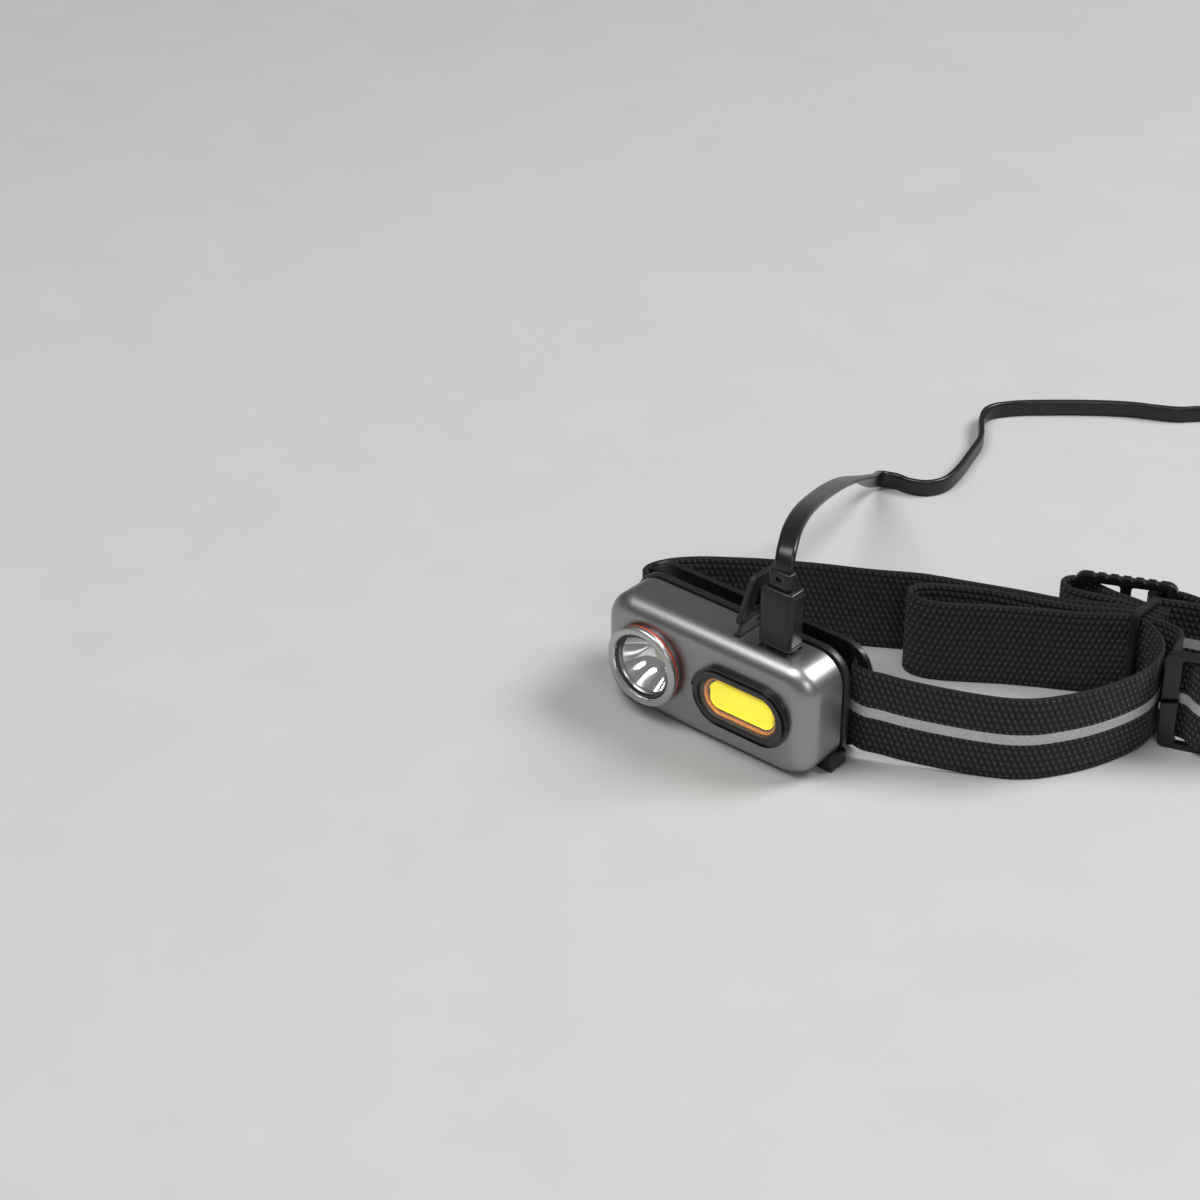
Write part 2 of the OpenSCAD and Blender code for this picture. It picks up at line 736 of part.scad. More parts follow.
module head_strap_front() {
  color([0.13, 0.13, 0.14])
    strap(front_route, 3);
}

module head_strap_fold() {
  color([0.13, 0.13, 0.14])
    strap(fold_route, 3);
}

module wrap_strap() {
  color([0.13, 0.13, 0.14])
    strap(wrap_route, 3);
}

module adjust_strap() {
  color([0.13, 0.13, 0.14])
    strap(adjust_route, 3);
}

module rear_buckle() {
  h = strap_w + buckle_extra;
  color([0.05, 0.05, 0.05])
  translate([fit_x(buckle_at[0]), buckle_at[1] + shift_y, 0])
    rotate([0, 0, buckle_turn])
      difference() {
        translate([0, 0, h / 2])
          across(-buckle_t / 2, buckle_t / 2)
            rounded(buckle_l, h, 3);
        for (x = [-1, 1])
          translate([x * (buckle_l / 4 - 0.75), 0, h / 2])
            across(-5, 5)
              rounded(buckle_l / 2 - 4.5, h - 2 * rail_z, 0.8);
        for (i = [-3 : 2])
          translate([i * 3.4 + 1.7, 0, h + 0.3])
            rotate([90, 0, 0])
              cylinder(r = 0.8, h = 8, center = true);
      }
}

module strap_slider() {
  h = strap_w + 4.4;
  color([0.05, 0.05, 0.05])
  translate([fit_x(slider_at[0]), slider_at[1] + shift_y, 0])
    rotate([0, 0, slider_turn])
      translate([slider_l / 2, 0, h / 2])
        difference() {
          across(-slider_t / 2, slider_t / 2)
            rounded(slider_l, h, 2.4);
          for (x = [-1, 1])
            translate([x * 5.2, 0, 0])
              across(-5, 5)
                rounded(7.2, h - 2 * slider_rail, 0.8);
          translate([-slider_l / 2 + 2.5, 0, 0])
            rotate([0, -14, 0])
              cube([9, 10, 1.2], center = true);
        }
}

module strap_keeper() {
  y0 = 79.4;
  y1 = 91.9;
  z1 = strap_w + 2 + keeper_t + 0.3;
  color([0.04, 0.04, 0.04])
  translate([fit_x(keeper_at), shift_y, 0])
    rotate([90, 0, 90])
      translate([(y0 + y1) / 2, z1 / 2, -1.2])
        linear_extrude(2.4)
          difference() {
            rounded(y1 - y0, z1, 2.2);
            rounded(y1 - y0 - 2 * keeper_t, z1 - 2 * keeper_t, 0.6);
          }
}

// ---------- charging plug and cable ----------
module plug_body() {
  color([0.05, 0.05, 0.05])
  translate([port_x, port_y, plug_z])
    intersection() {
      linear_extrude(plug_h)
        rounded(plug_w, plug_d, 1.4);
      translate([0, 0, plug_h / 2])
        across(-10, 10)
          rounded(plug_w, plug_h, 1);
    }
}

module plug_tongue() {
  color([0.75, 0.75, 0.77])
  translate([port_x, port_y, plug_z - tongue_l])
    linear_extrude(tongue_l)
      difference() {
        rounded(tongue_w, tongue_d, 0.4);
        rounded(tongue_w - 0.6, tongue_d - 0.6, 0.3);
      }
}

module strain_relief() {
  color([0.05, 0.05, 0.05])
  translate([port_x, port_y, relief_z])
    difference() {
      intersection() {
        linear_extrude(relief_h)
          rounded(cable_w + 2.2, cable_t + 2.6, 1.2);
        translate([0, 0, relief_h / 2])
          across(-10, 10)
            rounded(cable_w + 2.2, relief_h, 0.7);
      }
      translate([-0.8, -6, relief_h - 2.6])
        cube([1.6, 4.6, 1.2]);
    }
}

function lift(p) = [p[0], p[1], p[2] + shift_z * min(1, max(0, (p[2] - 3) / 50)), p[3]];

module cable() {
  color([0.05, 0.05, 0.05])
    flat_cable([for (p = cable_route) lift(p)], 2);
}

module coil_outline() {
  difference() {
    circle(r = coil_out, $fn = 96);
    circle(r = coil_in, $fn = 96);
  }
}

module cable_coil() {
  color([0.05, 0.05, 0.05])
  translate([coil_at[0], coil_at[1], 0])
    rotate_extrude($fn = 96)
      translate([coil_in, 0])
        square([coil_out - coil_in, cable_w]);
}

module coil_tie() {
  color([0.1, 0.1, 0.1])
  translate([coil_at[0], coil_at[1], 0])
    difference() {
      translate([-2.5, -coil_out - 0.9, 0])
        cube([5, coil_out - coil_in + 1.8, cable_w + 0.9]);
      translate([0, 0, -1])
        linear_extrude(cable_w + 1)
          coil_outline();
    }
}

module usb_a_body() {
  color([0.05, 0.05, 0.05])
  translate([coil_at[0] - 14.5, coil_at[1] + 4, usb_h / 2])
    rotate([90, 0, 90])
      linear_extrude(usb_l)
        rounded(usb_w, usb_h, 1.6);
}

module usb_a_shell() {
  color([0.75, 0.75, 0.77])
  translate([coil_at[0] - 14.5 + usb_l, coil_at[1] + 4, usb_h / 2])
    rotate([90, 0, 90])
      linear_extrude(12)
        difference() {
          rounded(12, 4.5, 0.4);
          translate([0, 0.45])
            square([11.2, 2.8], center = true);
        }
}

shell();
gasket();
rear_cover();
cover_screws();
spot_bezel();
spot_lens();
spot_ring();
reflector();
spot_led();
led_board();
flood_bezel();
flood_lens();
flood_liner();
cob_panel();
cob_board();
main_board();
battery();
battery_foam();
usb_socket();
button_cap();
tact_switch();
port_cover();
hinge_pin();
bracket();
head_strap_rear();
head_strap_front();
head_strap_fold();
wrap_strap();
adjust_strap();
rear_buckle();
strap_slider();
strap_keeper();
plug_body();
plug_tongue();
strain_relief();
cable();
cable_coil();
coil_tie();
usb_a_body();
usb_a_shell();
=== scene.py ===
"""Headlamp with a bunched elastic strap and a charging cable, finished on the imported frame."""
import json
import logging
import math
from dataclasses import dataclass, field
from enum import Enum
from typing import Any, Callable, Sequence

import bmesh
import bpy
from mathutils import Matrix, Vector

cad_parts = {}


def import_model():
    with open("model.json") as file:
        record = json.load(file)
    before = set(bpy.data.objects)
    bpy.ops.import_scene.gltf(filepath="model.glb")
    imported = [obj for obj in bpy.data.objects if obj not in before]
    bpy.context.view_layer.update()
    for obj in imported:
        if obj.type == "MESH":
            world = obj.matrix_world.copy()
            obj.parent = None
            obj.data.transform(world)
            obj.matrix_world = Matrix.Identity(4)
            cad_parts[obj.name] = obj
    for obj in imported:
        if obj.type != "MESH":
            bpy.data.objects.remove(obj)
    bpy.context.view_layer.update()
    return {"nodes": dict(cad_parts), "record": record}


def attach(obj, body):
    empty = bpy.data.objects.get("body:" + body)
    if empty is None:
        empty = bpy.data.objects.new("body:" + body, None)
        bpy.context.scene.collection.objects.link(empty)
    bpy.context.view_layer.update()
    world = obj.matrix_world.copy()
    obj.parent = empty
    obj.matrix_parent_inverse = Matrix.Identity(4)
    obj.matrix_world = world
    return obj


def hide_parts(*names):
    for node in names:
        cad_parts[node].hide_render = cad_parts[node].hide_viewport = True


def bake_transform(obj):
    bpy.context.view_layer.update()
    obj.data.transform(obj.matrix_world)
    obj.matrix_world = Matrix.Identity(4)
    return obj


LOG = logging.getLogger("headlamp")
MM = 0.001
Point = Sequence[float]


class Body(Enum):
    """The rigid bodies that pieces ride on."""

    BAND = "band"
    HEAD = "head"
    BUTTON = "button"
    FLAP = "flap"
    PLUG = "plug"


# ---------------------------------------------------------------- shader maths
class Sock:
    """A value socket that builds Math nodes from Python operators."""

    def __init__(self, shop: "Shop", link: Any) -> None:
        """Wraps one output socket of the given shop's node tree."""
        self.shop = shop
        self.link = link

    def _math(self, op: str, a: Any, b: Any = 0.0, clamp: bool = False) -> "Sock":
        """Returns the result of one Math node on a and b."""
        return self.shop.node("ShaderNodeMath", {"operation": op, "use_clamp": clamp}, [a, b])

    def __add__(self, other: Any) -> "Sock":
        """Returns the sum."""
        return self._math("ADD", self, other)

    __radd__ = __add__

    def __sub__(self, other: Any) -> "Sock":
        """Returns the difference."""
        return self._math("SUBTRACT", self, other)

    def __rsub__(self, other: Any) -> "Sock":
        """Returns the difference taken the other way round."""
        return self._math("SUBTRACT", other, self)

    def __mul__(self, other: Any) -> "Sock":
        """Returns the product."""
        return self._math("MULTIPLY", self, other)

    __rmul__ = __mul__

    def __truediv__(self, other: Any) -> "Sock":
        """Returns the quotient."""
        return self._math("DIVIDE", self, other)

    def sin(self) -> "Sock":
        """Returns the sine."""
        return self._math("SINE", self)

    def abs(self) -> "Sock":
        """Returns the size without its sign."""
        return self._math("ABSOLUTE", self)

    def fract(self) -> "Sock":
        """Returns the part after the point."""
        return self._math("FRACT", self)

    def above(self, edge: float) -> "Sock":
        """Returns 1 where the value is greater than edge."""
        return self._math("GREATER_THAN", self, edge)

    def below(self, edge: float) -> "Sock":
        """Returns 1 where the value is less than edge."""
        return self._math("LESS_THAN", self, edge)

    def clamp(self) -> "Sock":
        """Returns the value held between 0 and 1."""
        return self._math("ADD", self, 0.0, True)

    def power(self, exponent: float) -> "Sock":
        """Returns the value raised to exponent."""
        return self._math("POWER", self, exponent)


class Shop:
    """One material's node tree with its shader."""

    def __init__(self, name: str) -> None:
        """Starts an empty material of that name with a Principled shader."""
        self.material = bpy.data.materials.new(name)
        self.material.use_nodes = True
        self.tree = self.material.node_tree
        self.tree.nodes.clear()
        self.out = self.tree.nodes.new("ShaderNodeOutputMaterial")
        self.shader = self.tree.nodes.new("ShaderNodeBsdfPrincipled")
        self.tree.links.new(self.shader.outputs[0], self.out.inputs[0])

    def _feed(self, socket: Any, value: Any) -> None:
        """Sets or links one input socket."""
        if isinstance(value, Sock):
            self.tree.links.new(value.link, socket)
        elif value is not None:
            socket.default_value = value

    def node(self, kind: str, settings: dict[str, Any], values: Any, output: Any = 0) -> Sock:
        """Makes one node.

        Args:
            kind: The node's type.
            settings: Attributes set before any input.
            values: A list by position or a dict by socket name.
            output: The output socket's name or position.

        Returns:
            The chosen output.
        """
        made = self.tree.nodes.new(kind)
        for key, value in settings.items():
            setattr(made, key, value)
        pairs = enumerate(values) if isinstance(values, list) else values.items()
        for key, value in pairs:
            self._feed(made.inputs[key], value)
        return Sock(self, made.outputs[output])

    def place(self) -> Sock:
        """Returns Object coordinates."""
        return self.node("ShaderNodeTexCoord", {}, {}, "Object")

    def part(self, vector: Sock, axis: int) -> Sock:
        """Returns one part of a vector, 0 for x, 1 for y and 2 for z."""
        return self.node("ShaderNodeSeparateXYZ", {}, [vector], axis)

    def uv(self) -> tuple[Sock, Sock]:
        """Returns the two parts of the piece's own UV map."""
        spot = self.node("ShaderNodeUVMap", {"uv_map": "UVMap"}, {})
        return self.part(spot, 0), self.part(spot, 1)

    def noise(self, scale: float, detail: float = 3.0, rough: float = 0.55,
              vector: Sock | None = None) -> Sock:
        """Returns a noise between 0 and 1, scale in waves a metre."""
        return self.node("ShaderNodeTexNoise", {}, {
            "Vector": vector or self.place(), "Scale": scale, "Detail": detail,
            "Roughness": rough})

    def mix(self, factor: Any, a: Any, b: Any) -> Sock:
        """Returns a colour between a and b."""
        made = self.tree.nodes.new("ShaderNodeMix")
        made.data_type = "RGBA"
        self._feed(made.inputs[0], factor)
        self._feed(made.inputs[6], a if isinstance(a, Sock) else (*a, 1.0))
        self._feed(made.inputs[7], b if isinstance(b, Sock) else (*b, 1.0))
        return Sock(self, made.outputs[2])

    def set(self, **inputs: Any) -> None:
        """Sets the shader's sockets; underscores stand for spaces."""
        for key, value in inputs.items():
            self._feed(self.shader.inputs[key.replace("_", " ")], value)

    def bump(self, height: Sock, depth: float, strength: float = 1.0) -> None:
        """Bends the shader's normal by a height, depth in metres."""
        normal = self.node("ShaderNodeBump", {}, {
            "Strength": strength, "Distance": depth, "Height": height})
        self._feed(self.shader.inputs["Normal"], normal)


# ---------------------------------------------------------------- finishes
def shade_of(colour: Point, gain: float, lift: float = 0.0) -> list[float]:
    """Returns a colour times gain plus lift, held below 1."""
    return [min(1.0, c * gain + lift) for c in colour]


@dataclass(frozen=True)
class Finish:
    """A named material recipe; each kind lays its own nodes."""

    name: str

    def make(self) -> bpy.types.Material:
        """Returns the finished material."""
        shop = Shop(self.name)
        self.paint(shop)
        return shop.material

    def paint(self, s: Shop) -> None:
        """Lays the nodes of this finish in a shop."""
        raise NotImplementedError


@dataclass(frozen=True)
class Moulded(Finish):
    """Moulded plastic or rubber with grain, faint dust and handling marks."""

    colour: Point
    rough: float
    grain: float = 2600.0
    depth: float = 0.00002
    dust: float = 0.03
    coat: float = 0.0
    spread: float = 0.10

    def paint(self, s: Shop) -> None:
        """Lays the nodes."""
        cloud = s.noise(60.0, 5.0)
        fine = s.noise(self.grain, 2.0)
        marks = s.noise(260.0, 6.0, 0.7)
        speck = s.noise(1500.0, 1.0).above(0.72)
        tone = s.mix((cloud - 0.35).clamp() * 0.35, self.colour,
                     shade_of(self.colour, 1.5, 0.004))
        s.set(Base_Color=s.mix((speck * marks * self.dust * 2.0).clamp(), tone,
                               shade_of(self.colour, 1.0, 0.16)),
              Roughness=(cloud * self.spread + marks * self.spread + self.rough
                         - self.spread).clamp(), Coat_Weight=self.coat,
              Coat_Roughness=0.12, IOR=1.48)
        s.bump(fine, self.depth, 0.6)


@dataclass(frozen=True)
class Metal(Finish):
    """Plated or plain metal with fine scratches."""

    colour: Point
    rough: float
    stretch: float = 1.0

    def paint(self, s: Shop) -> None:
        """Lays the nodes."""
        run = s.node("ShaderNodeMapping", {}, {
            "Vector": s.place(), "Scale": (1.0, 1.0, self.stretch)})
        lines = s.noise(1800.0, 4.0, 0.6, run)
        tint = s.noise(90.0, 3.0)
        s.set(Base_Color=s.mix(tint * 0.3, self.colour, shade_of(self.colour, 0.72)),
              Metallic=1.0, Roughness=(lines * 0.16 + self.rough).clamp())
        s.bump(lines, 0.000008, 0.5)


@dataclass(frozen=True)
class Satin(Finish):
    """Fine-blasted satin metal, such as anodised or bead-blasted aluminium."""

    colour: Point
    rough: float
    grain: float = 4200.0
    wear: float = 0.25

    def paint(self, s: Shop) -> None:
        """Lays the nodes."""
        grit = s.noise(self.grain, 2.0, 0.6)
        cloud = s.noise(70.0, 4.0)
        marks = s.noise(420.0, 6.0, 0.75)
        worn = ((marks - 0.62) * 3.0).clamp() * self.wear
        tone = s.mix(grit * 0.22, self.colour, shade_of(self.colour, 0.80))
        s.set(Base_Color=s.mix(worn, tone, shade_of(self.colour, 1.35)),
              Metallic=1.0, Roughness=(grit * 0.07 + cloud * 0.06 + self.rough - 0.06).clamp())
        s.bump(grit, 0.000012, 0.7)


@dataclass(frozen=True)
class Accent(Finish):
    """Coloured metal trim: deep orange-red at the left of the head, amber at the right."""

    red: Point = (0.66, 0.080, 0.020)
    amber: Point = (0.95, 0.36, 0.06)
    rough: float = 0.26

    def paint(self, s: Shop) -> None:
        """Lays the nodes."""
        x = s.part(s.place(), 0)
        turned = s.noise(1800.0, 2.0)
        cloud = s.noise(90.0, 4.0)
        tone = s.mix(x.above(0.0), self.red, self.amber)
        s.set(Base_Color=s.mix(cloud * 0.25, tone, (0.36, 0.06, 0.02)), Metallic=0.4,
              Roughness=(turned * 0.08 + cloud * 0.06 + self.rough - 0.06).clamp(),
              Coat_Weight=0.3, Coat_Roughness=0.1)
        s.bump(turned, 0.000006, 0.4)


@dataclass(frozen=True)
class Clear(Finish):
    """Clear polished plastic."""

    tint: Point = (0.97, 0.985, 1.0)

    def paint(self, s: Shop) -> None:
        """Lays the nodes."""
        film = s.noise(120.0, 4.0)
        s.set(Base_Color=(*self.tint, 1.0), Roughness=(film * 0.05).clamp(), IOR=1.46,
              Alpha=(film * 0.03 + 0.035).clamp(), Coat_Weight=0.2, Coat_Roughness=0.02)
        s.bump(film, 0.00002, 0.15)


@dataclass(frozen=True)
class Phosphor(Finish):
    """Light sources: a pale chip at the left and a yellow gel over chips at the right, both with
    a painted glow from their emission, faint at the left and yellow at the right.
    """

    pitch: float = 0.0013
    colour: Point = (0.90, 0.84, 0.01)
    pale: Point = (0.72, 0.72, 0.52)

    def paint(self, s: Shop) -> None:
        """Lays the nodes."""
        spot = s.place()
        x, z = s.part(spot, 0), s.part(spot, 2)
        gx = ((x / self.pitch).fract() - 0.5).abs()
        gz = ((z / self.pitch).fract() - 0.5).abs()
        chip = gx.below(0.3) * gz.below(0.3)
        cloud = s.noise(700.0, 4.0)
        gel = s.mix(cloud, self.colour, (0.88, 0.74, 0.008))
        tone = s.mix(chip * 0.35, gel, (1.0, 0.94, 0.04))
        panel = x.above(0.0)
        # painted glow: emission brightens the yellow panel, and faintly the pale chip, as if
        # they were lit
        painted_glow = s.mix(chip * 0.3, (1.0, 0.86, 0.0), (1.0, 0.92, 0.04))
        s.set(Base_Color=s.mix(panel, self.pale, tone),
              Roughness=(cloud * 0.2 + 0.35).clamp(),
              Emission_Color=s.mix(panel, (0.10, 0.10, 0.08), painted_glow), Emission_Strength=0.5)
        s.bump(chip + cloud * 0.5, 0.00006, 0.4)


@dataclass(frozen=True)
class Webbing(Finish):
    """Knitted elastic strap; u runs along it and v across it, both in metres. Its colour carries
    a painted highlight on the knit's crests and painted shade in its grooves.
    """

    width: float
    stripe: bool = True
    rows: int = 13
    stitch: float = 0.0017
    colour: Point = (0.0042, 0.0042, 0.0045)
    reflective: Point = (0.66, 0.66, 0.66)

    def paint(self, s: Shop) -> None:
        """Lays the nodes."""
        u, v = s.uv()
        row = (v / self.width * self.rows).fract()
        cord = (1.0 - ((row - 0.5).abs() * 2.0).power(2.2)).clamp()
        shift = (v / self.width * self.rows * 0.5).fract().above(0.5) * 0.5
        loop = ((u / self.stitch + shift + row * 0.45).fract() - 0.5).abs() * 2.0
        fine = (u * (math.tau / 0.0007)).sin() * 0.5 + 0.5
        knit = cord * (loop * 0.55 + 0.45) + fine * cord * 0.22
        fuzz = s.noise(3600.0, 3.0)
        wave = s.noise(55.0, 4.0)
        # painted highlight and shade: the crests of the cords and loops are painted far lighter
        # and the grooves between them darker, with random fibre fuzz on top
        painted_crest_highlight = (cord - 0.45).clamp() * (loop - 0.25).clamp() * 2.6
        painted_knit_light_and_fuzz = (painted_crest_highlight * (fuzz * 1.3 + 0.15) + fuzz * 0.10 - 0.04).clamp()
        # the dark end is painted shade in the grooves, the light end is painted highlight on the
        # crests
        base = s.mix(painted_knit_light_and_fuzz, shade_of(self.colour, 0.35), shade_of(self.colour, 20.0))
        worn = s.mix((wave - 0.42).clamp() * 0.8, base, shade_of(self.colour, 4.5))
        edge = (v / self.width - 0.5).abs()
        tone = s.mix(edge.above(0.468) * 0.6, worn, shade_of(self.colour, 0.5))
        rough = fuzz * 0.14 + 0.70
        metal: Any = 0.0
        if self.stripe:
            outer = s.node("ShaderNodeAttribute", {"attribute_name": "outer"}, {}, "Fac")
            line = edge.below(0.062) * outer.above(0.5)
            bead = s.noise(2600.0, 3.0, 0.7)
            silver = s.mix(((bead - 0.4) * 3.0).clamp(), shade_of(self.reflective, 0.62),
                           self.reflective)
            tone = s.mix(line, tone, silver)
            rough = rough - line * 0.30
            metal = line * 0.25
            knit = knit * (1.0 - line) + line * (bead * 0.12 + 0.9)
        s.set(Base_Color=tone, Roughness=rough.clamp(), Metallic=metal, Sheen_Weight=0.06,
              Sheen_Roughness=0.4, Specular_IOR_Level=0.32)
        s.bump(knit + fuzz * 0.3, 0.00055, 1.0)


@dataclass(frozen=True)
class Board(Finish):
    """Printed board with a mask and faint tracks."""

    colour: Point

    def paint(self, s: Shop) -> None:
        """Lays the nodes."""
        cells = s.node("ShaderNodeTexVoronoi", {"distance": "MANHATTAN"}, {
            "Vector": s.place(), "Scale": 420.0})
        track = (cells * 9.0).fract().above(0.72)
        s.set(Base_Color=s.mix(track * 0.5, self.colour, shade_of(self.colour, 1.7, 0.02)),
              Roughness=track * 0.1 + 0.32)
        s.bump(track, 0.00003, 0.5)


# ---------------------------------------------------------------- mesh tools
Mesh = bmesh.types.BMesh
UPRIGHT = Matrix.Rotation(math.pi / 2, 4, "X")  # XY outline to XZ, its depth along -Y
ALONG_X = Matrix.Rotation(math.pi / 2, 4, "Y")  # depth along +X
ALONG_Y = Matrix.Rotation(math.pi / 2, 4, "Z") @ UPRIGHT  # XY outline to YZ, its depth along +X
WELD = 1e-7  # metres under which points are one
HINGE_Y, HINGE_Z = 10.8, 4.5  # the tilt hinge's axis


def at(x: float, y: float, z: float) -> Matrix:
    """Returns a move by millimetres."""
    return Matrix.Translation(Vector((x, y, z)) * MM)


def slab(w: float, h: float, r: float, depth: float, segments: int = 8) -> Mesh:
    """Makes a rounded slab, its outline in XY and its depth along +Z from 0.

    Args:
        w: Width in millimetres.
        h: Height in millimetres.
        r: Corner radius in millimetres.
        depth: Depth in millimetres.
        segments: Segments of each corner.

    Returns:
        The slab's bmesh, in metres.
    """
    bm = bmesh.new()
    bmesh.ops.create_grid(bm, x_segments=1, y_segments=1, size=0.5)
    bmesh.ops.scale(bm, vec=(w * MM, h * MM, 1.0), verts=bm.verts)
    if r > 0:
        bmesh.ops.bevel(bm, geom=bm.verts[:], offset=min(r, min(w, h) / 2 * 0.999) * MM,
                        offset_type="OFFSET", segments=segments, profile=0.5,
                        affect="VERTICES", material=-1)
    made = bmesh.ops.extrude_face_region(bm, geom=bm.faces[:])
    top = [g for g in made["geom"] if isinstance(g, bmesh.types.BMVert)]
    bmesh.ops.translate(bm, vec=(0, 0, depth * MM), verts=top)
    bmesh.ops.recalc_face_normals(bm, faces=bm.faces)
    return bm


def front_slab(w: float, h: float, r: float, y0: float, y1: float, x: float, z: float,
               segments: int = 8) -> Mesh:
    """Makes a rounded slab whose outline faces the front, from y0 to y1."""
    bm = slab(w, h, r, y1 - y0, segments)
    bm.transform(at(x, y1, z) @ UPRIGHT)
    return bm


def outline(w: float, h: float, r: float, y: float, z: float, steps: int = 12) -> list[Vector]:
    """Returns a rounded outline that faces the front, w by h, at depth y round height z."""
    out = []
    for corner, (sx, sz) in enumerate(((1, 1), (-1, 1), (-1, -1), (1, -1))):
        for k in range(steps + 1):
            a = math.pi / 2 * (corner + k / steps)
            out.append(Vector((sx * (w / 2 - r) + r * math.cos(a), y,
                               z + sz * (h / 2 - r) + r * math.sin(a))) * MM)
    return out


def lathe(profile: Sequence[Point], place: Matrix, steps: int = 96, closed: bool = True) -> Mesh:
    """Spins a profile round the local Z axis.

    Args:
        profile: (radius, height) pairs in millimetres, in order.
        place: Where the local frame goes.
        steps: Steps of the full turn.
        closed: Whether the last point joins the first.

    Returns:
        The turned bmesh.
    """
    bm = bmesh.new()
    verts = [bm.verts.new((r * MM, 0.0, h * MM)) for r, h in profile]
    pairs = list(zip(verts, verts[1:])) + ([(verts[-1], verts[0])] if closed else [])
    edges = [bm.edges.new(p) for p in pairs]
    bmesh.ops.spin(bm, geom=verts + edges, cent=(0, 0, 0), axis=(0, 0, 1),
                   angle=math.tau, steps=steps, use_merge=True)
    bmesh.ops.remove_doubles(bm, verts=bm.verts, dist=WELD)
    bm.transform(place)
    bmesh.ops.recalc_face_normals(bm, faces=bm.faces)
    return bm


def rod(radius: float, length: float, place: Matrix, steps: int = 40) -> Mesh:
    """Makes a plain round rod along the local Z axis, in millimetres."""
    return lathe([(0, 0), (radius, 0), (radius, length), (0, length)], place, steps, False)


def soften(bm: Mesh, width: float, segments: int = 3,
           pick: Callable[[Any], bool] | None = None, angle: float = 40.0) -> Mesh:
    """Bevels the sharp edges of a form that pick accepts, width in millimetres."""
    limit = math.radians(angle)
    edges = [e for e in bm.edges if len(e.link_faces) == 2 and e.calc_face_angle(0) > limit
             and (pick is None or pick(e))]
    if edges:
        bmesh.ops.bevel(bm, geom=edges, offset=width * MM, offset_type="OFFSET",
                        segments=segments, profile=0.5, affect="EDGES", material=-1,
                        clamp_overlap=True)
    return bm


def to_object(bm: Mesh, name: str) -> bpy.types.Object:
    """Turns a bmesh into a linked object and frees it."""
    mesh = bpy.data.meshes.new(name)
    bm.to_mesh(mesh)
    bm.free()
    made = bpy.data.objects.new(name, mesh)
    bpy.context.scene.collection.objects.link(made)
    return made


def carve(base: Mesh, cutters: Sequence[Mesh], name: str, rim: float = 0.0,
          added: Sequence[Mesh] = ()) -> Mesh:
    """Joins forms to a base, cuts others from it and rounds the new rims.

    Args:
        base: The form that is worked on.
        cutters: Forms that are taken away.
        name: A working name.
        rim: Rim radius in millimetres, 0 for none.
        added: Forms that are joined on before the cuts.

    Returns:
        The finished bmesh.
    """
    body = to_object(base, name + "_work")
    tools = [(to_object(b, name + "_add"), "UNION") for b in added]
    tools += [(to_object(b, name + "_cut"), "DIFFERENCE") for b in cutters]
    for tool, operation in tools:
        step = body.modifiers.new("cut", "BOOLEAN")
        step.operation, step.object, step.solver = operation, tool, "EXACT"
    if rim > 0:
        edge = body.modifiers.new("rim", "BEVEL")
        edge.width, edge.segments, edge.limit_method = rim * MM, 2, "ANGLE"
        edge.angle_limit = math.radians(50)
    graph = bpy.context.evaluated_depsgraph_get()
    done = bpy.data.meshes.new_from_object(body.evaluated_get(graph))
    bm = bmesh.new()
    bm.from_mesh(done)
    for extra in [body] + [t for t, _ in tools]:
        bpy.data.objects.remove(extra, do_unlink=True)
    bpy.data.meshes.remove(done)
    bmesh.ops.remove_doubles(bm, verts=bm.verts, dist=WELD)
    return bm


def merge(*forms: Mesh) -> Mesh:
    """Puts several closed forms in one bmesh."""
    whole = bmesh.new()
    for form in forms:
        mesh = bpy.data.meshes.new("part")
        form.to_mesh(mesh)
        form.free()
        whole.from_mesh(mesh)
        bpy.data.meshes.remove(mesh)
    return whole


def piece(bm: Mesh, name: str, body: Body | None, finish: bpy.types.Material,
          nodes: Sequence[str] = (), smooth: float = 38.0) -> bpy.types.Object:
    """Makes a finished piece that rides on a body.

    Args:
        bm: The form, in place.
        name: The piece's name.
        body: The rigid body it rides on, or None if it rides on none.
        finish: Its material.
        nodes: CAD nodes that it stands for.
        smooth: Edges sharper than this many degrees stay crisp.

    Returns:
        The object.
    """
    made = to_object(bm, name)
    made.data.materials.append(finish)
    made.data.shade_smooth()
    made.data.set_sharp_from_angle(angle=math.radians(smooth))
    if body:
        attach(made, body.value)
    if nodes:
        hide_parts(*nodes)
    LOG.info("%s: %d faces", name, len(made.data.polygons))
    return made


def spline(route: Sequence[Point], steps: int) -> list[Vector]:
    """Smooths given points of any size into a curve through them all."""
    pts = [Vector(p) for p in route]
    last = len(pts) - 1
    out: list[Vector] = []
    for i in range(last):
        a, b, c, d = pts[max(i - 1, 0)], pts[i], pts[i + 1], pts[min(i + 2, last)]
        for j in range(steps):
            t = j / steps
            out.append(0.5 * (2 * b + (c - a) * t + (2 * a - 5 * b + 4 * c - d) * t * t
                              + (3 * b - a - 3 * c + d) * t ** 3))
    return out + [pts[last]]


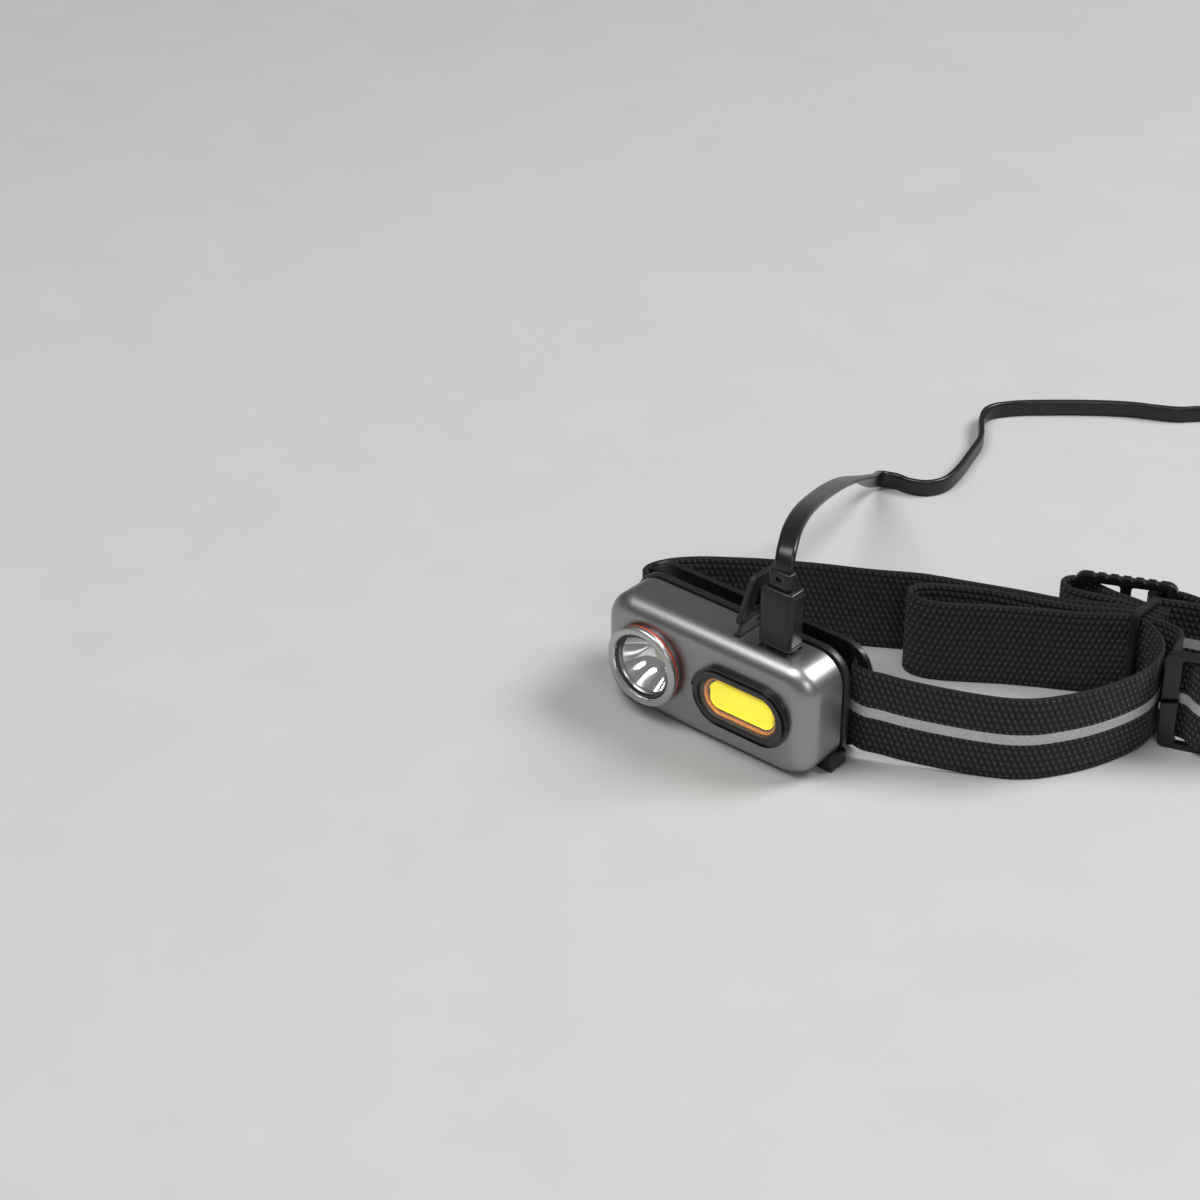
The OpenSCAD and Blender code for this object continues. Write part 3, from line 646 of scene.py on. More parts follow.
def sweep(rings: Sequence[Sequence[Vector]], name: str,
          across: Sequence[float] | None = None, outer: set[int] | None = None) -> Mesh:
    """Skins a soft strip or cord from its cross-sections.

    Args:
        rings: Cross-sections in order, each with the same number of points.
        name: A working name for the layers.
        across: Each section point's place across the strip in metres, for the UV map.
        outer: Section sides, by first point, that carry the outer attribute.

    Returns:
        The closed form with a UV map in metres.
    """
    bm = bmesh.new()
    uv = bm.loops.layers.uv.new("UVMap")
    face_side = bm.faces.layers.float.new("outer")
    grid = [[bm.verts.new(p) for p in ring] for ring in rings]
    count, run = len(rings[0]), 0.0
    side = list(across) if across else [k / count for k in range(count)]
    for i in range(len(rings) - 1):
        mid = [sum(r, Vector()) / count for r in (rings[i], rings[i + 1])]
        step = (mid[1] - mid[0]).length
        for k in range(count):
            m = (k + 1) % count
            face = bm.faces.new((grid[i][k], grid[i][m], grid[i + 1][m], grid[i + 1][k]))
            face[face_side] = 1.0 if outer and k in outer else 0.0
            ends = (side[k], side[m] if across or m else 1.0)
            for loop, (u, v) in zip(face.loops, ((run, ends[0]), (run, ends[1]),
                                                 (run + step, ends[1]), (run + step, ends[0]))):
                loop[uv].uv = (u, v)
        run += step
    bm.faces.new(grid[0][::-1])
    bm.faces.new(grid[-1])
    bmesh.ops.recalc_face_normals(bm, faces=bm.faces)
    return bm


# ---------------------------------------------------------------- room and camera
@dataclass
class Room:
    """Pale floor, soft lights and the camera."""

    eye: Point = (389.6, -500.0, 426.1)
    target: Point = (-56.6, 14.9, 10.0)
    lens: float = 85.0

    def camera(self) -> None:
        """Makes the camera at the set angle."""
        data = bpy.data.cameras.new("camera")
        data.lens, data.sensor_width, data.clip_start = self.lens, 36.0, 0.01
        made = bpy.data.objects.new("camera", data)
        bpy.context.scene.collection.objects.link(made)
        made.location = Vector(self.eye) * MM
        way = (Vector(self.target) - Vector(self.eye)) * MM
        made.rotation_euler = way.to_track_quat("-Z", "Y").to_euler()
        bpy.context.scene.camera = made

    def lamp(self, name: str, where: Point, aim: Point, size: float, power: float) -> None:
        """Adds one soft area light."""
        data = bpy.data.lights.new(name, "AREA")
        data.shape, data.size, data.energy = "DISK", size, power
        made = bpy.data.objects.new(name, data)
        made.location = Vector(where)
        made.rotation_euler = (Vector(aim) - Vector(where)).to_track_quat("-Z", "Y").to_euler()
        bpy.context.scene.collection.objects.link(made)

    def build(self) -> None:
        """Makes the floor, the world and the lights."""
        bm = bmesh.new()
        bmesh.ops.create_grid(bm, x_segments=8, y_segments=8, size=3.0)
        floor = to_object(bm, "floor")
        s = Shop("floor_paper")
        s.set(Base_Color=s.mix(s.noise(30.0), (0.41, 0.41, 0.41), (0.45, 0.45, 0.45)),
              Roughness=0.75)
        floor.data.materials.append(s.material)
        world = bpy.data.worlds.new("studio")
        world.use_nodes = True
        back = world.node_tree.nodes["Background"]
        back.inputs[0].default_value = (1.0, 1.0, 1.0, 1.0)
        back.inputs[1].default_value = 0.15
        bpy.context.scene.world = world
        self.lamp("back_soft", (0.76, 1.0, 1.44), (0.02, 0.03, 0.0), 0.9, 34.0)
        self.lamp("top_soft", (-0.30, -0.64, 1.60), (0.0, 0.0, 0.0), 1.1, 21.0)
        self.lamp("right_soft", (0.62, -0.42, 0.50), (0.03, 0.0, 0.01), 0.25, 1.3)
        bpy.context.scene.view_settings.view_transform = "Standard"


# ---------------------------------------------------------------- free cable
@dataclass
class ChargingCable:
    """Flat charging cable from the small plug to the coil and its far plug, in millimetres."""

    finish: bpy.types.Material
    metal: bpy.types.Material
    width: float = 5.3
    thick: float = 1.8
    coil: Point = (54.0, 231.0)
    coil_radius: float = 28.6
    coil_pitch: float = 1.95
    coil_from: float = 104.0
    coil_turn: float = 618.0
    coil_height: float = 2.7
    route: Sequence[Point] = (
        (18.5, -0.4, 54.5, 0), (18.5, -0.4, 56.2, 0), (18.5, 0.2, 59, 0), (17.2, 2.9, 61.2, 0),
        (13.2, 10.4, 62, 0), (5.6, 25.7, 58.2, 0), (-6.9, 51.7, 47.7, 0.05),
        (-20, 79, 34.7, 0.12), (-31.3, 102.5, 21.6, 0.3), (-39.6, 120, 10.8, 0.6),
        (-44.2, 129.6, 5.4, 0.85), (-44.8, 134, 3.4, 1), (-41.4, 136.6, 2.8, 1),
        (-36.4, 137, 2.7, 1), (-31.6, 139.6, 2.7, 1), (-29.2, 145, 2.7, 1), (-30, 153, 2.7, 1),
        (-33.6, 166, 2.7, 1), (-37, 176, 2.7, 1), (-43.6, 186, 2.7, 1), (-45.6, 193.5, 2.7, 1),
        (-41.2, 201, 2.7, 1), (-33.6, 208.4, 2.7, 1), (-23, 217.4, 2.7, 1),
        (-13, 224.6, 2.7, 1), (-5, 228.6, 2.7, 1), (1, 232, 2.7, 1), (6, 237, 2.7, 1),
        (13, 243.4, 2.7, 1), (23, 250, 2.7, 1), (34, 255.4, 2.7, 1))
    tail: Sequence[Point] = ((30.4, 223.6, 2.7, 1), (30.6, 228.6, 2.8, 1),
                             (33.4, 233.0, 3.2, 1), (37.6, 234.8, 3.6, 1), (41.5, 235, 3.8, 1))

    def line(self) -> list[Vector]:
        """Returns the middle line with each point's turn from flat to on edge."""
        turns, steps = [], 32
        for i in range(steps + 1):
            part = i / steps
            angle = math.radians(self.coil_from - self.coil_turn * part)
            r = self.coil_radius - self.coil_pitch * self.coil_turn / 360.0 * part
            turns.append((self.coil[0] + r * math.cos(angle),
                          self.coil[1] + r * math.sin(angle), self.coil_height, 1))
        return spline([*self.route, *turns, *self.tail], 5)

    def build(self) -> None:
        line = self.line()
        centres = [p.to_3d() for p in line]
        wide_at = (0.5, 0.5, 0.44, 0.30, -0.30, -0.44, -0.5, -0.5, -0.44, -0.30, 0.30, 0.44)
        thin_at = (-0.2, 0.2, 0.42, 0.5, 0.5, 0.42, 0.2, -0.2, -0.42, -0.5, -0.5, -0.42)
        rings = []
        for i, p in enumerate(line):
            ahead = centres[min(i + 1, len(line) - 1)] - centres[max(i - 1, 0)]
            t = Vector((0, 0, 1)) if i < 4 else ahead.normalized()
            guide = (1 - p[3]) * Vector((1, 0.2, 0)) + p[3] * Vector((0, 0, 1))
            wide = (guide - guide.dot(t) * t).normalized()
            thin = t.cross(wide)
            rings.append([(centres[i] + wide * a * self.width + thin * b * self.thick) * MM
                          for a, b in zip(wide_at, thin_at)])
        path = [c * MM for c in centres]
        length = sum((b - a).length for a, b in zip(path, path[1:]))
        LOG.info("cable length %.3f m", length)
        cord = piece(sweep(rings, "cable"), "charging_cable", None, self.finish,
                     ("cable", "cable_coil"), 60.0)
        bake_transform(cord)
        tie = self.tie()
        body, shell, sleeve = self.far_plug()
        path[::2] + [path[-1]]

    def tie(self) -> bpy.types.Object:
        """Makes the tie round the coil."""
        x, y = self.coil
        deep = 4.6
        outer = slab(7.6, 6.6, 1.6, deep)
        inner = self.shifted(slab(5.0, 5.3, 0.9, 6.0), -0.7)
        bm = carve(outer, [inner], "tie", 0.25)
        bm.transform(at(x - deep / 2, y - 27.2, 3.0) @ ALONG_Y @ at(0, 0, -deep))
        low = min(v.co.z for v in bm.verts)
        bmesh.ops.translate(bm, vec=(0, 0, -low), verts=bm.verts)
        return piece(bm, "cable_tie", Body.BAND, self.finish, ("coil_tie",))

    def far_plug(self) -> tuple[bpy.types.Object, bpy.types.Object, bpy.types.Object]:
        """Makes the large plug's body, metal shell and sleeve, lying inside the coil."""
        x, y, z = self.coil[0] - 14.5, self.coil[1] + 4.0, 3.8
        body = slab(15.6, 7.6, 1.8, 24.0)
        soften(body, 1.0, 3, angle=60.0)
        body.transform(at(x, y, z) @ ALONG_Y)
        shell = carve(slab(12, 4.5, 0.5, 12.0), [self.shifted(slab(11.3, 3.9, 0.3, 12.0), 2.0),
                      self.shifted(slab(2.2, 2.0, 0.2, 6.0), 6.0, (-2.7, 2.2)),
                      self.shifted(slab(2.2, 2.0, 0.2, 6.0), 6.0, (2.7, 2.2))], "shell", 0.12)
        tongue = self.shifted(slab(10.8, 1.6, 0.2, 9.5), 0.2, (0, -0.9))
        metal = merge(shell, tongue)
        metal.transform(at(x + 24.0, y, z) @ ALONG_Y)
        sleeve = slab(8.4, 6.0, 1.4, 4.0)
        top = [v for v in sleeve.verts if v.co.z < 1e-6]
        bmesh.ops.scale(sleeve, vec=(0.8, 0.9, 1.0), verts=top)
        soften(sleeve, 0.4, 2, angle=60.0)
        sleeve.transform(at(x - 3.9, y, z) @ ALONG_Y)
        return (piece(body, "large_plug_body", Body.BAND, self.finish,
                      ("usb_a_body",)),
                piece(metal, "large_plug_shell", Body.BAND, self.metal,
                      ("usb_a_shell",)),
                piece(sleeve, "large_plug_sleeve", Body.BAND, self.finish))

    @staticmethod
    def shifted(bm: Mesh, lift: float, side: Point = (0.0, 0.0)) -> Mesh:
        """Moves a form up its depth and sideways, in millimetres."""
        bm.transform(at(side[0], side[1], lift))
        return bm


# ---------------------------------------------------------------- small plug and flap
@dataclass
class SmallPlug:
    """The plug standing in the charging port, its sleeve and its metal tongue."""

    finish: bpy.types.Material
    metal: bpy.types.Material
    x: float = 18.5
    y: float = -0.4
    foot: float = 33.9
    width: float = 10.6
    depth: float = 6.5
    height: float = 17.4
    sleeve_height: float = 4.7

    def build(self) -> None:
        """Makes the three pieces."""
        body = slab(self.width, self.depth, 1.5, self.height, 6)
        soften(body, 0.8, 4, angle=60.0)
        body = carve(body, [self.seam(1.3), self.seam(self.height - 1.4)], "plug", 0.15)
        body.transform(at(self.x, self.y, self.foot))
        piece(body, "small_plug_body", Body.PLUG, self.finish, ("plug_body",))
        sleeve = slab(7.4, 4.3, 1.2, self.sleeve_height, 6)
        top = [v for v in sleeve.verts if v.co.z > 1e-6]
        bmesh.ops.scale(sleeve, vec=(0.92, 0.80, 1.0), verts=top)
        soften(sleeve, 0.45, 3, angle=60.0)
        notch = slab(1.7, 1.2, 0.2, 1.6, 3)
        notch.transform(at(0, -1.1, 2.7) @ UPRIGHT)
        sleeve = carve(sleeve, [notch], "sleeve", 0.1)
        sleeve.transform(at(self.x, self.y, self.foot + self.height))
        piece(sleeve, "small_plug_sleeve", Body.PLUG, self.finish,
              ("strain_relief",))
        outer = slab(6.85, 1.8, 0.6, 6.4, 5)
        inner = slab(6.25, 1.2, 0.4, 6.0, 5)
        inner.transform(at(0, 0, -0.6))
        tongue = carve(outer, [inner], "tongue", 0.06)
        tongue.transform(at(self.x, self.y, self.foot - 6.4))
        piece(tongue, "small_plug_tongue", Body.PLUG, self.metal, ("plug_tongue",))

    def seam(self, height: float) -> Mesh:
        """Returns the cut for a shallow seam line round the body at a height."""
        ring = slab(self.width + 2, self.depth + 2, 1.5, 0.22, 4)
        ring.transform(at(0, 0, height))
        core = slab(self.width - 0.24, self.depth - 0.24, 1.4, 1.2, 6)
        core.transform(at(0, 0, height - 0.4))
        return carve(ring, [core], "seam")


@dataclass
class PortFlap:
    """The rubber flap of the port, standing open on its hinge bead."""

    finish: bpy.types.Material
    x: float = 7.0
    z: float = 33.4
    open_angle: float = 74.0
    length: float = 19.5
    thick: float = 1.6

    def build(self) -> None:
        """Makes the flap with its oval sealing lip."""
        plate = slab(self.length - 2.5, 9.8, 1.6, self.thick, 6)
        soften(plate, 0.35, 3, angle=60.0)
        plate.transform(at(2.5 + (self.length - 2.5) / 2, 0.9, 0.2))
        dish = slab(self.length - 6.0, 7.0, 1.2, 0.25, 6)
        dish.transform(at(2.6 + (self.length - 2.5) / 2, 0.9, 0.1))
        plate = carve(plate, [dish], "flap", 0.1)
        neck = slab(3.4, 7.8, 0.4, 0.9, 3)
        neck.transform(at(1.6, 0.4, -0.45))
        bead = lathe([(0, 0), (0.7, 0), (0.9, 0.2), (0.9, 8.6), (0.7, 8.8), (0, 8.8)],
                     at(0, 4.8, 0) @ UPRIGHT, 20, False)
        bm = merge(plate, neck, bead, self.lip())
        bm.transform(at(self.x, 0, self.z)
                     @ Matrix.Rotation(-math.radians(self.open_angle), 4, "Y"))
        piece(bm, "port_flap", Body.FLAP, self.finish, ("port_cover",))

    @staticmethod
    def lip() -> Mesh:
        """Returns the raised oval sealing lip on the flap's inner face."""
        lip = slab(8.6, 4.6, 2.29, 1.08, 12)
        hole = slab(6.8, 2.8, 1.39, 3.0, 12)
        lip.transform(at(11.5, 0.5, -0.58))
        hole.transform(at(11.5, 0.5, -2.0))
        return carve(lip, [hole], "lip")


# ---------------------------------------------------------------- lamp head
@dataclass
class Housing:
    """The front shell and the rear cover, in millimetres.

    The shell's outline is drawn in by draw_in (width, height, corner) over the crown's depth.
    """

    shell_finish: bpy.types.Material
    cover_finish: bpy.types.Material
    width: float = 70.0
    height: float = 33.0
    front: float = -9.0
    rim: float = 5.0
    corner: float = 8.5
    crown: float = 5.2
    draw_in: Point = (12.8, 9.6, 3.6)
    steps: int = 12
    spot_x: float = -18.9
    flood_x: float = 13.0
    port: Point = (18.5, -0.4)
    lip: float = 0.45

    def shell(self) -> None:
        """Makes the hollow front shell with its openings."""
        mid = self.height / 2
        rings = []
        for i in range(self.steps + 1):
            a = math.pi / 2 * (1 - i / self.steps)
            part = 1 - math.cos(a)
            rings.append(outline(self.width - self.draw_in[0] * part,
                                 self.height - self.draw_in[1] * part,
                                 self.corner - self.draw_in[2] * part,
                                 self.front + self.crown * (1 - math.sin(a)), mid))
        rings.append(outline(self.width, self.height, self.corner, self.rim, mid))
        body = sweep(rings, "shell")
        collar = front_slab(21.7, 21.7, 10.84, self.front - 0.9, self.front + 1.0, self.spot_x,
                            mid, 24)
        hollow = front_slab(66.8, 29.8, 6.9, -7.2, self.rim + 1, 0, mid)
        spot = rod(10.35, 6, at(self.spot_x, -5, mid) @ UPRIGHT, 64)
        flood = front_slab(28.5, 14.5, 7.2, -11, -5, self.flood_x, mid)
        recess = slab(9.8, 7.2, 0.8, 2.0)
        recess.transform(at(*self.port, self.height - 0.8))
        mouth = slab(7.65, 2.6, 0.5, 4.0)
        mouth.transform(at(*self.port, self.height - 2.6))
        groove = rod(1.1, 9.6, at(7.0, 5.4, self.height + 0.4) @ UPRIGHT, 24)
        button = rod(3.45, 4, at(-36.5, 1.0, mid) @ ALONG_X)
        bm = carve(body, [hollow, spot, flood, recess, mouth, groove, button], "shell",
                   added=[collar])
        piece(bm, "front_shell", Body.HEAD, self.shell_finish, ("shell",), 30)

    def cover(self) -> None:
        """Makes the rear cover with its band, corner lugs and hinge barrel."""
        wide, tall = self.width + 2 * self.lip, self.height + self.lip
        rim = ((0.3, 5.8), (0.08, 5.88), (0, 6.1), (0, 7.6), (0.1, 8.0), (0.35, 8.32),
               (0.7, 8.52), (1.2, 8.6))
        body = sweep([outline(wide - 2 * d, tall - 2 * d, self.corner - d, y, tall / 2)
                      for d, y in rim], "cover")
        barrel = lathe([(0, 0), (2.2, 0), (2.4, 0.2), (2.4, 41.2), (2.2, 41.4), (0, 41.4)],
                       at(-20.7, HINGE_Y, HINGE_Z) @ ALONG_X, 40, False)
        web = front_slab(41.4, 4.2, 0.1, 8.1, HINGE_Y, 0, HINGE_Z, 1)
        lugs = []
        for side in (-1, 1):
            lug = front_slab(5.4, 4.6, 0.9, 1.0, 7.4, side * 33.1, 2.35, 3)
            soften(lug, 0.5, 2, angle=60.0)
            lugs.append(lug)
        cuts = [front_slab(70.3, 33.3, 8.65, -3, 5.79, 0, self.height / 2, 12),
                front_slab(59.8, 22.8, 3, 5, 7.2, 0, self.height / 2)]
        for side in (-1, 1):
            cuts.append(rod(3.2, 7.2, at(20.7 if side > 0 else -27.9, HINGE_Y, HINGE_Z)
                            @ ALONG_X))
            for z in (4.6, 28.4):
                cuts.append(rod(2.1, 2, at(side * 30.5, 9.3, z) @ UPRIGHT, 32))
                cuts.append(rod(1.1, 5, at(side * 30.5, 10, z) @ UPRIGHT, 24))
        bm = carve(body, cuts, "cover", added=[barrel, web, *lugs])
        piece(bm, "rear_cover_moulding", Body.HEAD, self.cover_finish,
              ("rear_cover",), 30)

    def button(self, finish: bpy.types.Material) -> None:
        """Makes the push button with a shallow finger dish."""
        cap = lathe([(0, 3.8), (1.1, 3.8), (1.2, 3.7), (1.2, 3.2), (3.55, 3.2), (3.65, 3.1),
                     (3.65, 2.6), (3.25, 2.6), (3.2, 2.5), (3.2, 0.35), (2.9, 0.05),
                     (2.6, 0), (2.2, 0.12), (1.2, 0.24), (0, 0.28)],
                    at(-35.8, 1.0, self.height / 2) @ ALONG_X, 48, False)
        piece(cap, "push_button", Body.BUTTON, finish, ("button_cap",))


@dataclass
class Lamps:
    """The two lamps: bezels, lenses, rings, bowl and light panel, in millimetres."""

    bezel: bpy.types.Material
    lens: bpy.types.Material
    orange: bpy.types.Material
    mirror: bpy.types.Material
    yellow: bpy.types.Material
    silver: bpy.types.Material
    mid: float = 16.5
    spot_x: float = -18.9
    flood_x: float = 13.0

    def spot(self) -> None:
        """Makes the round lamp from its bezel back to its bowl."""
        place = at(self.spot_x, 0, self.mid) @ UPRIGHT
        bezel = lathe([(9.0, 7.2), (10.2, 7.2), (10.2, 10.8), (11.5, 10.8), (11.65, 10.95),
                       (11.65, 11.7), (11.6, 11.95), (11.35, 12.28), (11.0, 12.4),
                       (9.75, 12.4), (9.55, 12.25), (9.3, 11.3), (9.0, 11.1)], place, 128)
        piece(bezel, "spot_silver_bezel", Body.HEAD, self.silver,
              ("spot_bezel",), 34)
        seal = lathe([(8.45, 11.12), (8.98, 11.12), (9.28, 11.4), (9.2, 11.6), (8.7, 11.5),
                      (8.4, 11.3)], place, 96)
        piece(seal, "spot_lens_seal", Body.HEAD, self.bezel, (), 50)
        disc = lathe([(0, 9.95), (8.9, 9.95), (8.95, 10.1), (8.95, 10.8), (8.8, 10.95),
                      (6.0, 11.02), (0, 11.05)], place, 96, False)
        piece(disc, "spot_front_lens", Body.HEAD, self.lens, ("spot_lens",))
        ring = lathe([(10.25, 9.9), (11.3, 9.9), (11.5, 10.1), (11.5, 10.6), (11.35, 10.78),
                      (10.25, 10.78)], place, 96)
        piece(ring, "spot_orange_ring", Body.HEAD, self.orange,
              ("spot_ring",), 50)
        inner = [(2.6 + 5.6 * (i / 14) ** 0.60, 3.0 + 6.8 * i / 14) for i in range(15)]
        outer = [(r + 0.55, h - 0.1) for r, h in inner[::-1] if h < 9.4]
        bowl = lathe([*inner, (8.95, 9.9), (8.95, 9.3), *outer, (3.3, 3.0)], place, 96)
        piece(bowl, "spot_reflector_bowl", Body.HEAD, self.mirror,
              ("reflector",), 50)

    def flood(self) -> None:
        """Makes the long lamp from its stepped bezel back to its light panel."""
        x, z = self.flood_x, self.mid
        lower = front_slab(31.6, 17.6, 8.79, -10.3, -9.0, x, z, 16)
        soften(lower, 0.35, 3, lambda e: all(v.co.y < -10.29 * MM for v in e.verts))
        upper = front_slab(29.8, 15.8, 7.89, -10.9, -8.4, x, z, 16)
        soften(upper, 0.3, 3, lambda e: all(v.co.y < -10.89 * MM for v in e.verts))
        bezel = carve(lower, [front_slab(24.8, 11.8, 5.89, -12, -7, x, z, 16),
                              front_slab(26.8, 13.0, 6.49, -12, -10.5, x, z, 16),
                              self.skirt(x, z)], "flood", 0.1, [upper])
        piece(bezel, "flood_bezel_frame", Body.HEAD, self.bezel,
              ("flood_bezel",), 35)
        pane = front_slab(24.7, 11.7, 5.84, -10.5, -9.75, x, z, 16)
        soften(pane, 0.15, 2, angle=60.0)
        piece(pane, "flood_front_lens", Body.HEAD, self.lens, ("flood_lens",))
        liner = carve(front_slab(24.8, 11.8, 5.89, -9.7, -8.4, x, z, 16),
                      [front_slab(23.1, 10.1, 5.0, -12, -7, x, z, 16)], "liner", 0.25)
        piece(liner, "flood_orange_liner", Body.HEAD, self.orange,
              ("flood_liner",), 50)
        mask = carve(front_slab(22.9, 9.9, 4.9, -8.46, -8.42, x, z, 16),
                     [front_slab(21.2, 8.2, 3.1, -9, -8, x, z, 10)], "mask")
        piece(mask, "flood_board_mask", Body.HEAD, self.bezel, (), 50)
        panel = front_slab(21, 8, 3, -9.1, -8.4, x, z, 10)
        soften(panel, 0.25, 3, lambda e: all(v.co.y < -9.09 * MM for v in e.verts))
        piece(panel, "flood_light_panel", Body.HEAD, self.yellow,
              ("cob_panel",), 50)

    @staticmethod
    def skirt(x: float, z: float) -> Mesh:
        """Returns the cut that keeps the bezel's rear tube inside the shell's opening."""
        ring = front_slab(40, 26, 12.9, -8.99, -7.0, x, z, 8)
        core = front_slab(28.2, 14.2, 7.09, -9.5, -6.5, x, z, 16)
        return carve(ring, [core], "skirt")


# ---------------------------------------------------------------- bracket and strap
@dataclass
class Bracket:
    """The plate behind the head with its two hinge ears and strap slots."""

    finish: bpy.types.Material
    width: float = 75.0
    low: float = 0.5
    high: float = 33.0
    y0: float = 13.5
    y1: float = 15.0

    def build(self) -> None:
        """Makes the bracket."""
        mid = (self.low + self.high) / 2
        plate = front_slab(self.width, self.high - self.low, 8.5, self.y0, self.y1, 0, mid, 12)
        soften(plate, 0.35, 3, angle=60.0)
        ears = []
        for x in (-27.5, 21.0):
            ears.append(lathe([(0, 0), (2.7, 0), (2.9, 0.2), (2.9, 6.3), (2.7, 6.5), (0, 6.5)],
                              at(x, HINGE_Y, HINGE_Z) @ ALONG_X, 40, False))
            ears.append(front_slab(6.46, 5.76, 0.1, HINGE_Y, 13.9, x + 3.25, HINGE_Z, 1))
        cuts = [front_slab(3.0, 26.4, 0.8, 12, 17, side * 32.0, 15.7, 5) for side in (-1, 1)]
        cuts.append(front_slab(53.0, 8.0, 2.0, 12, 14.0, 0, self.high - 9, 6))
        cuts += [front_slab(8.0, 3.0, 1.4, 14.4, 17, x, 10.5, 5) for x in (-12, 0, 12)]
        cuts.append(rod(1.1, 60, at(-30, HINGE_Y, HINGE_Z) @ ALONG_X, 32))
        piece(carve(plate, cuts, "bracket", 0.15, ears), "back_bracket", Body.BAND,
              self.finish, ("bracket",), 30)


class Side(Enum):
    """Which side of a strap's route carries the reflective line."""

    LEFT = "left"
    RIGHT = "right"


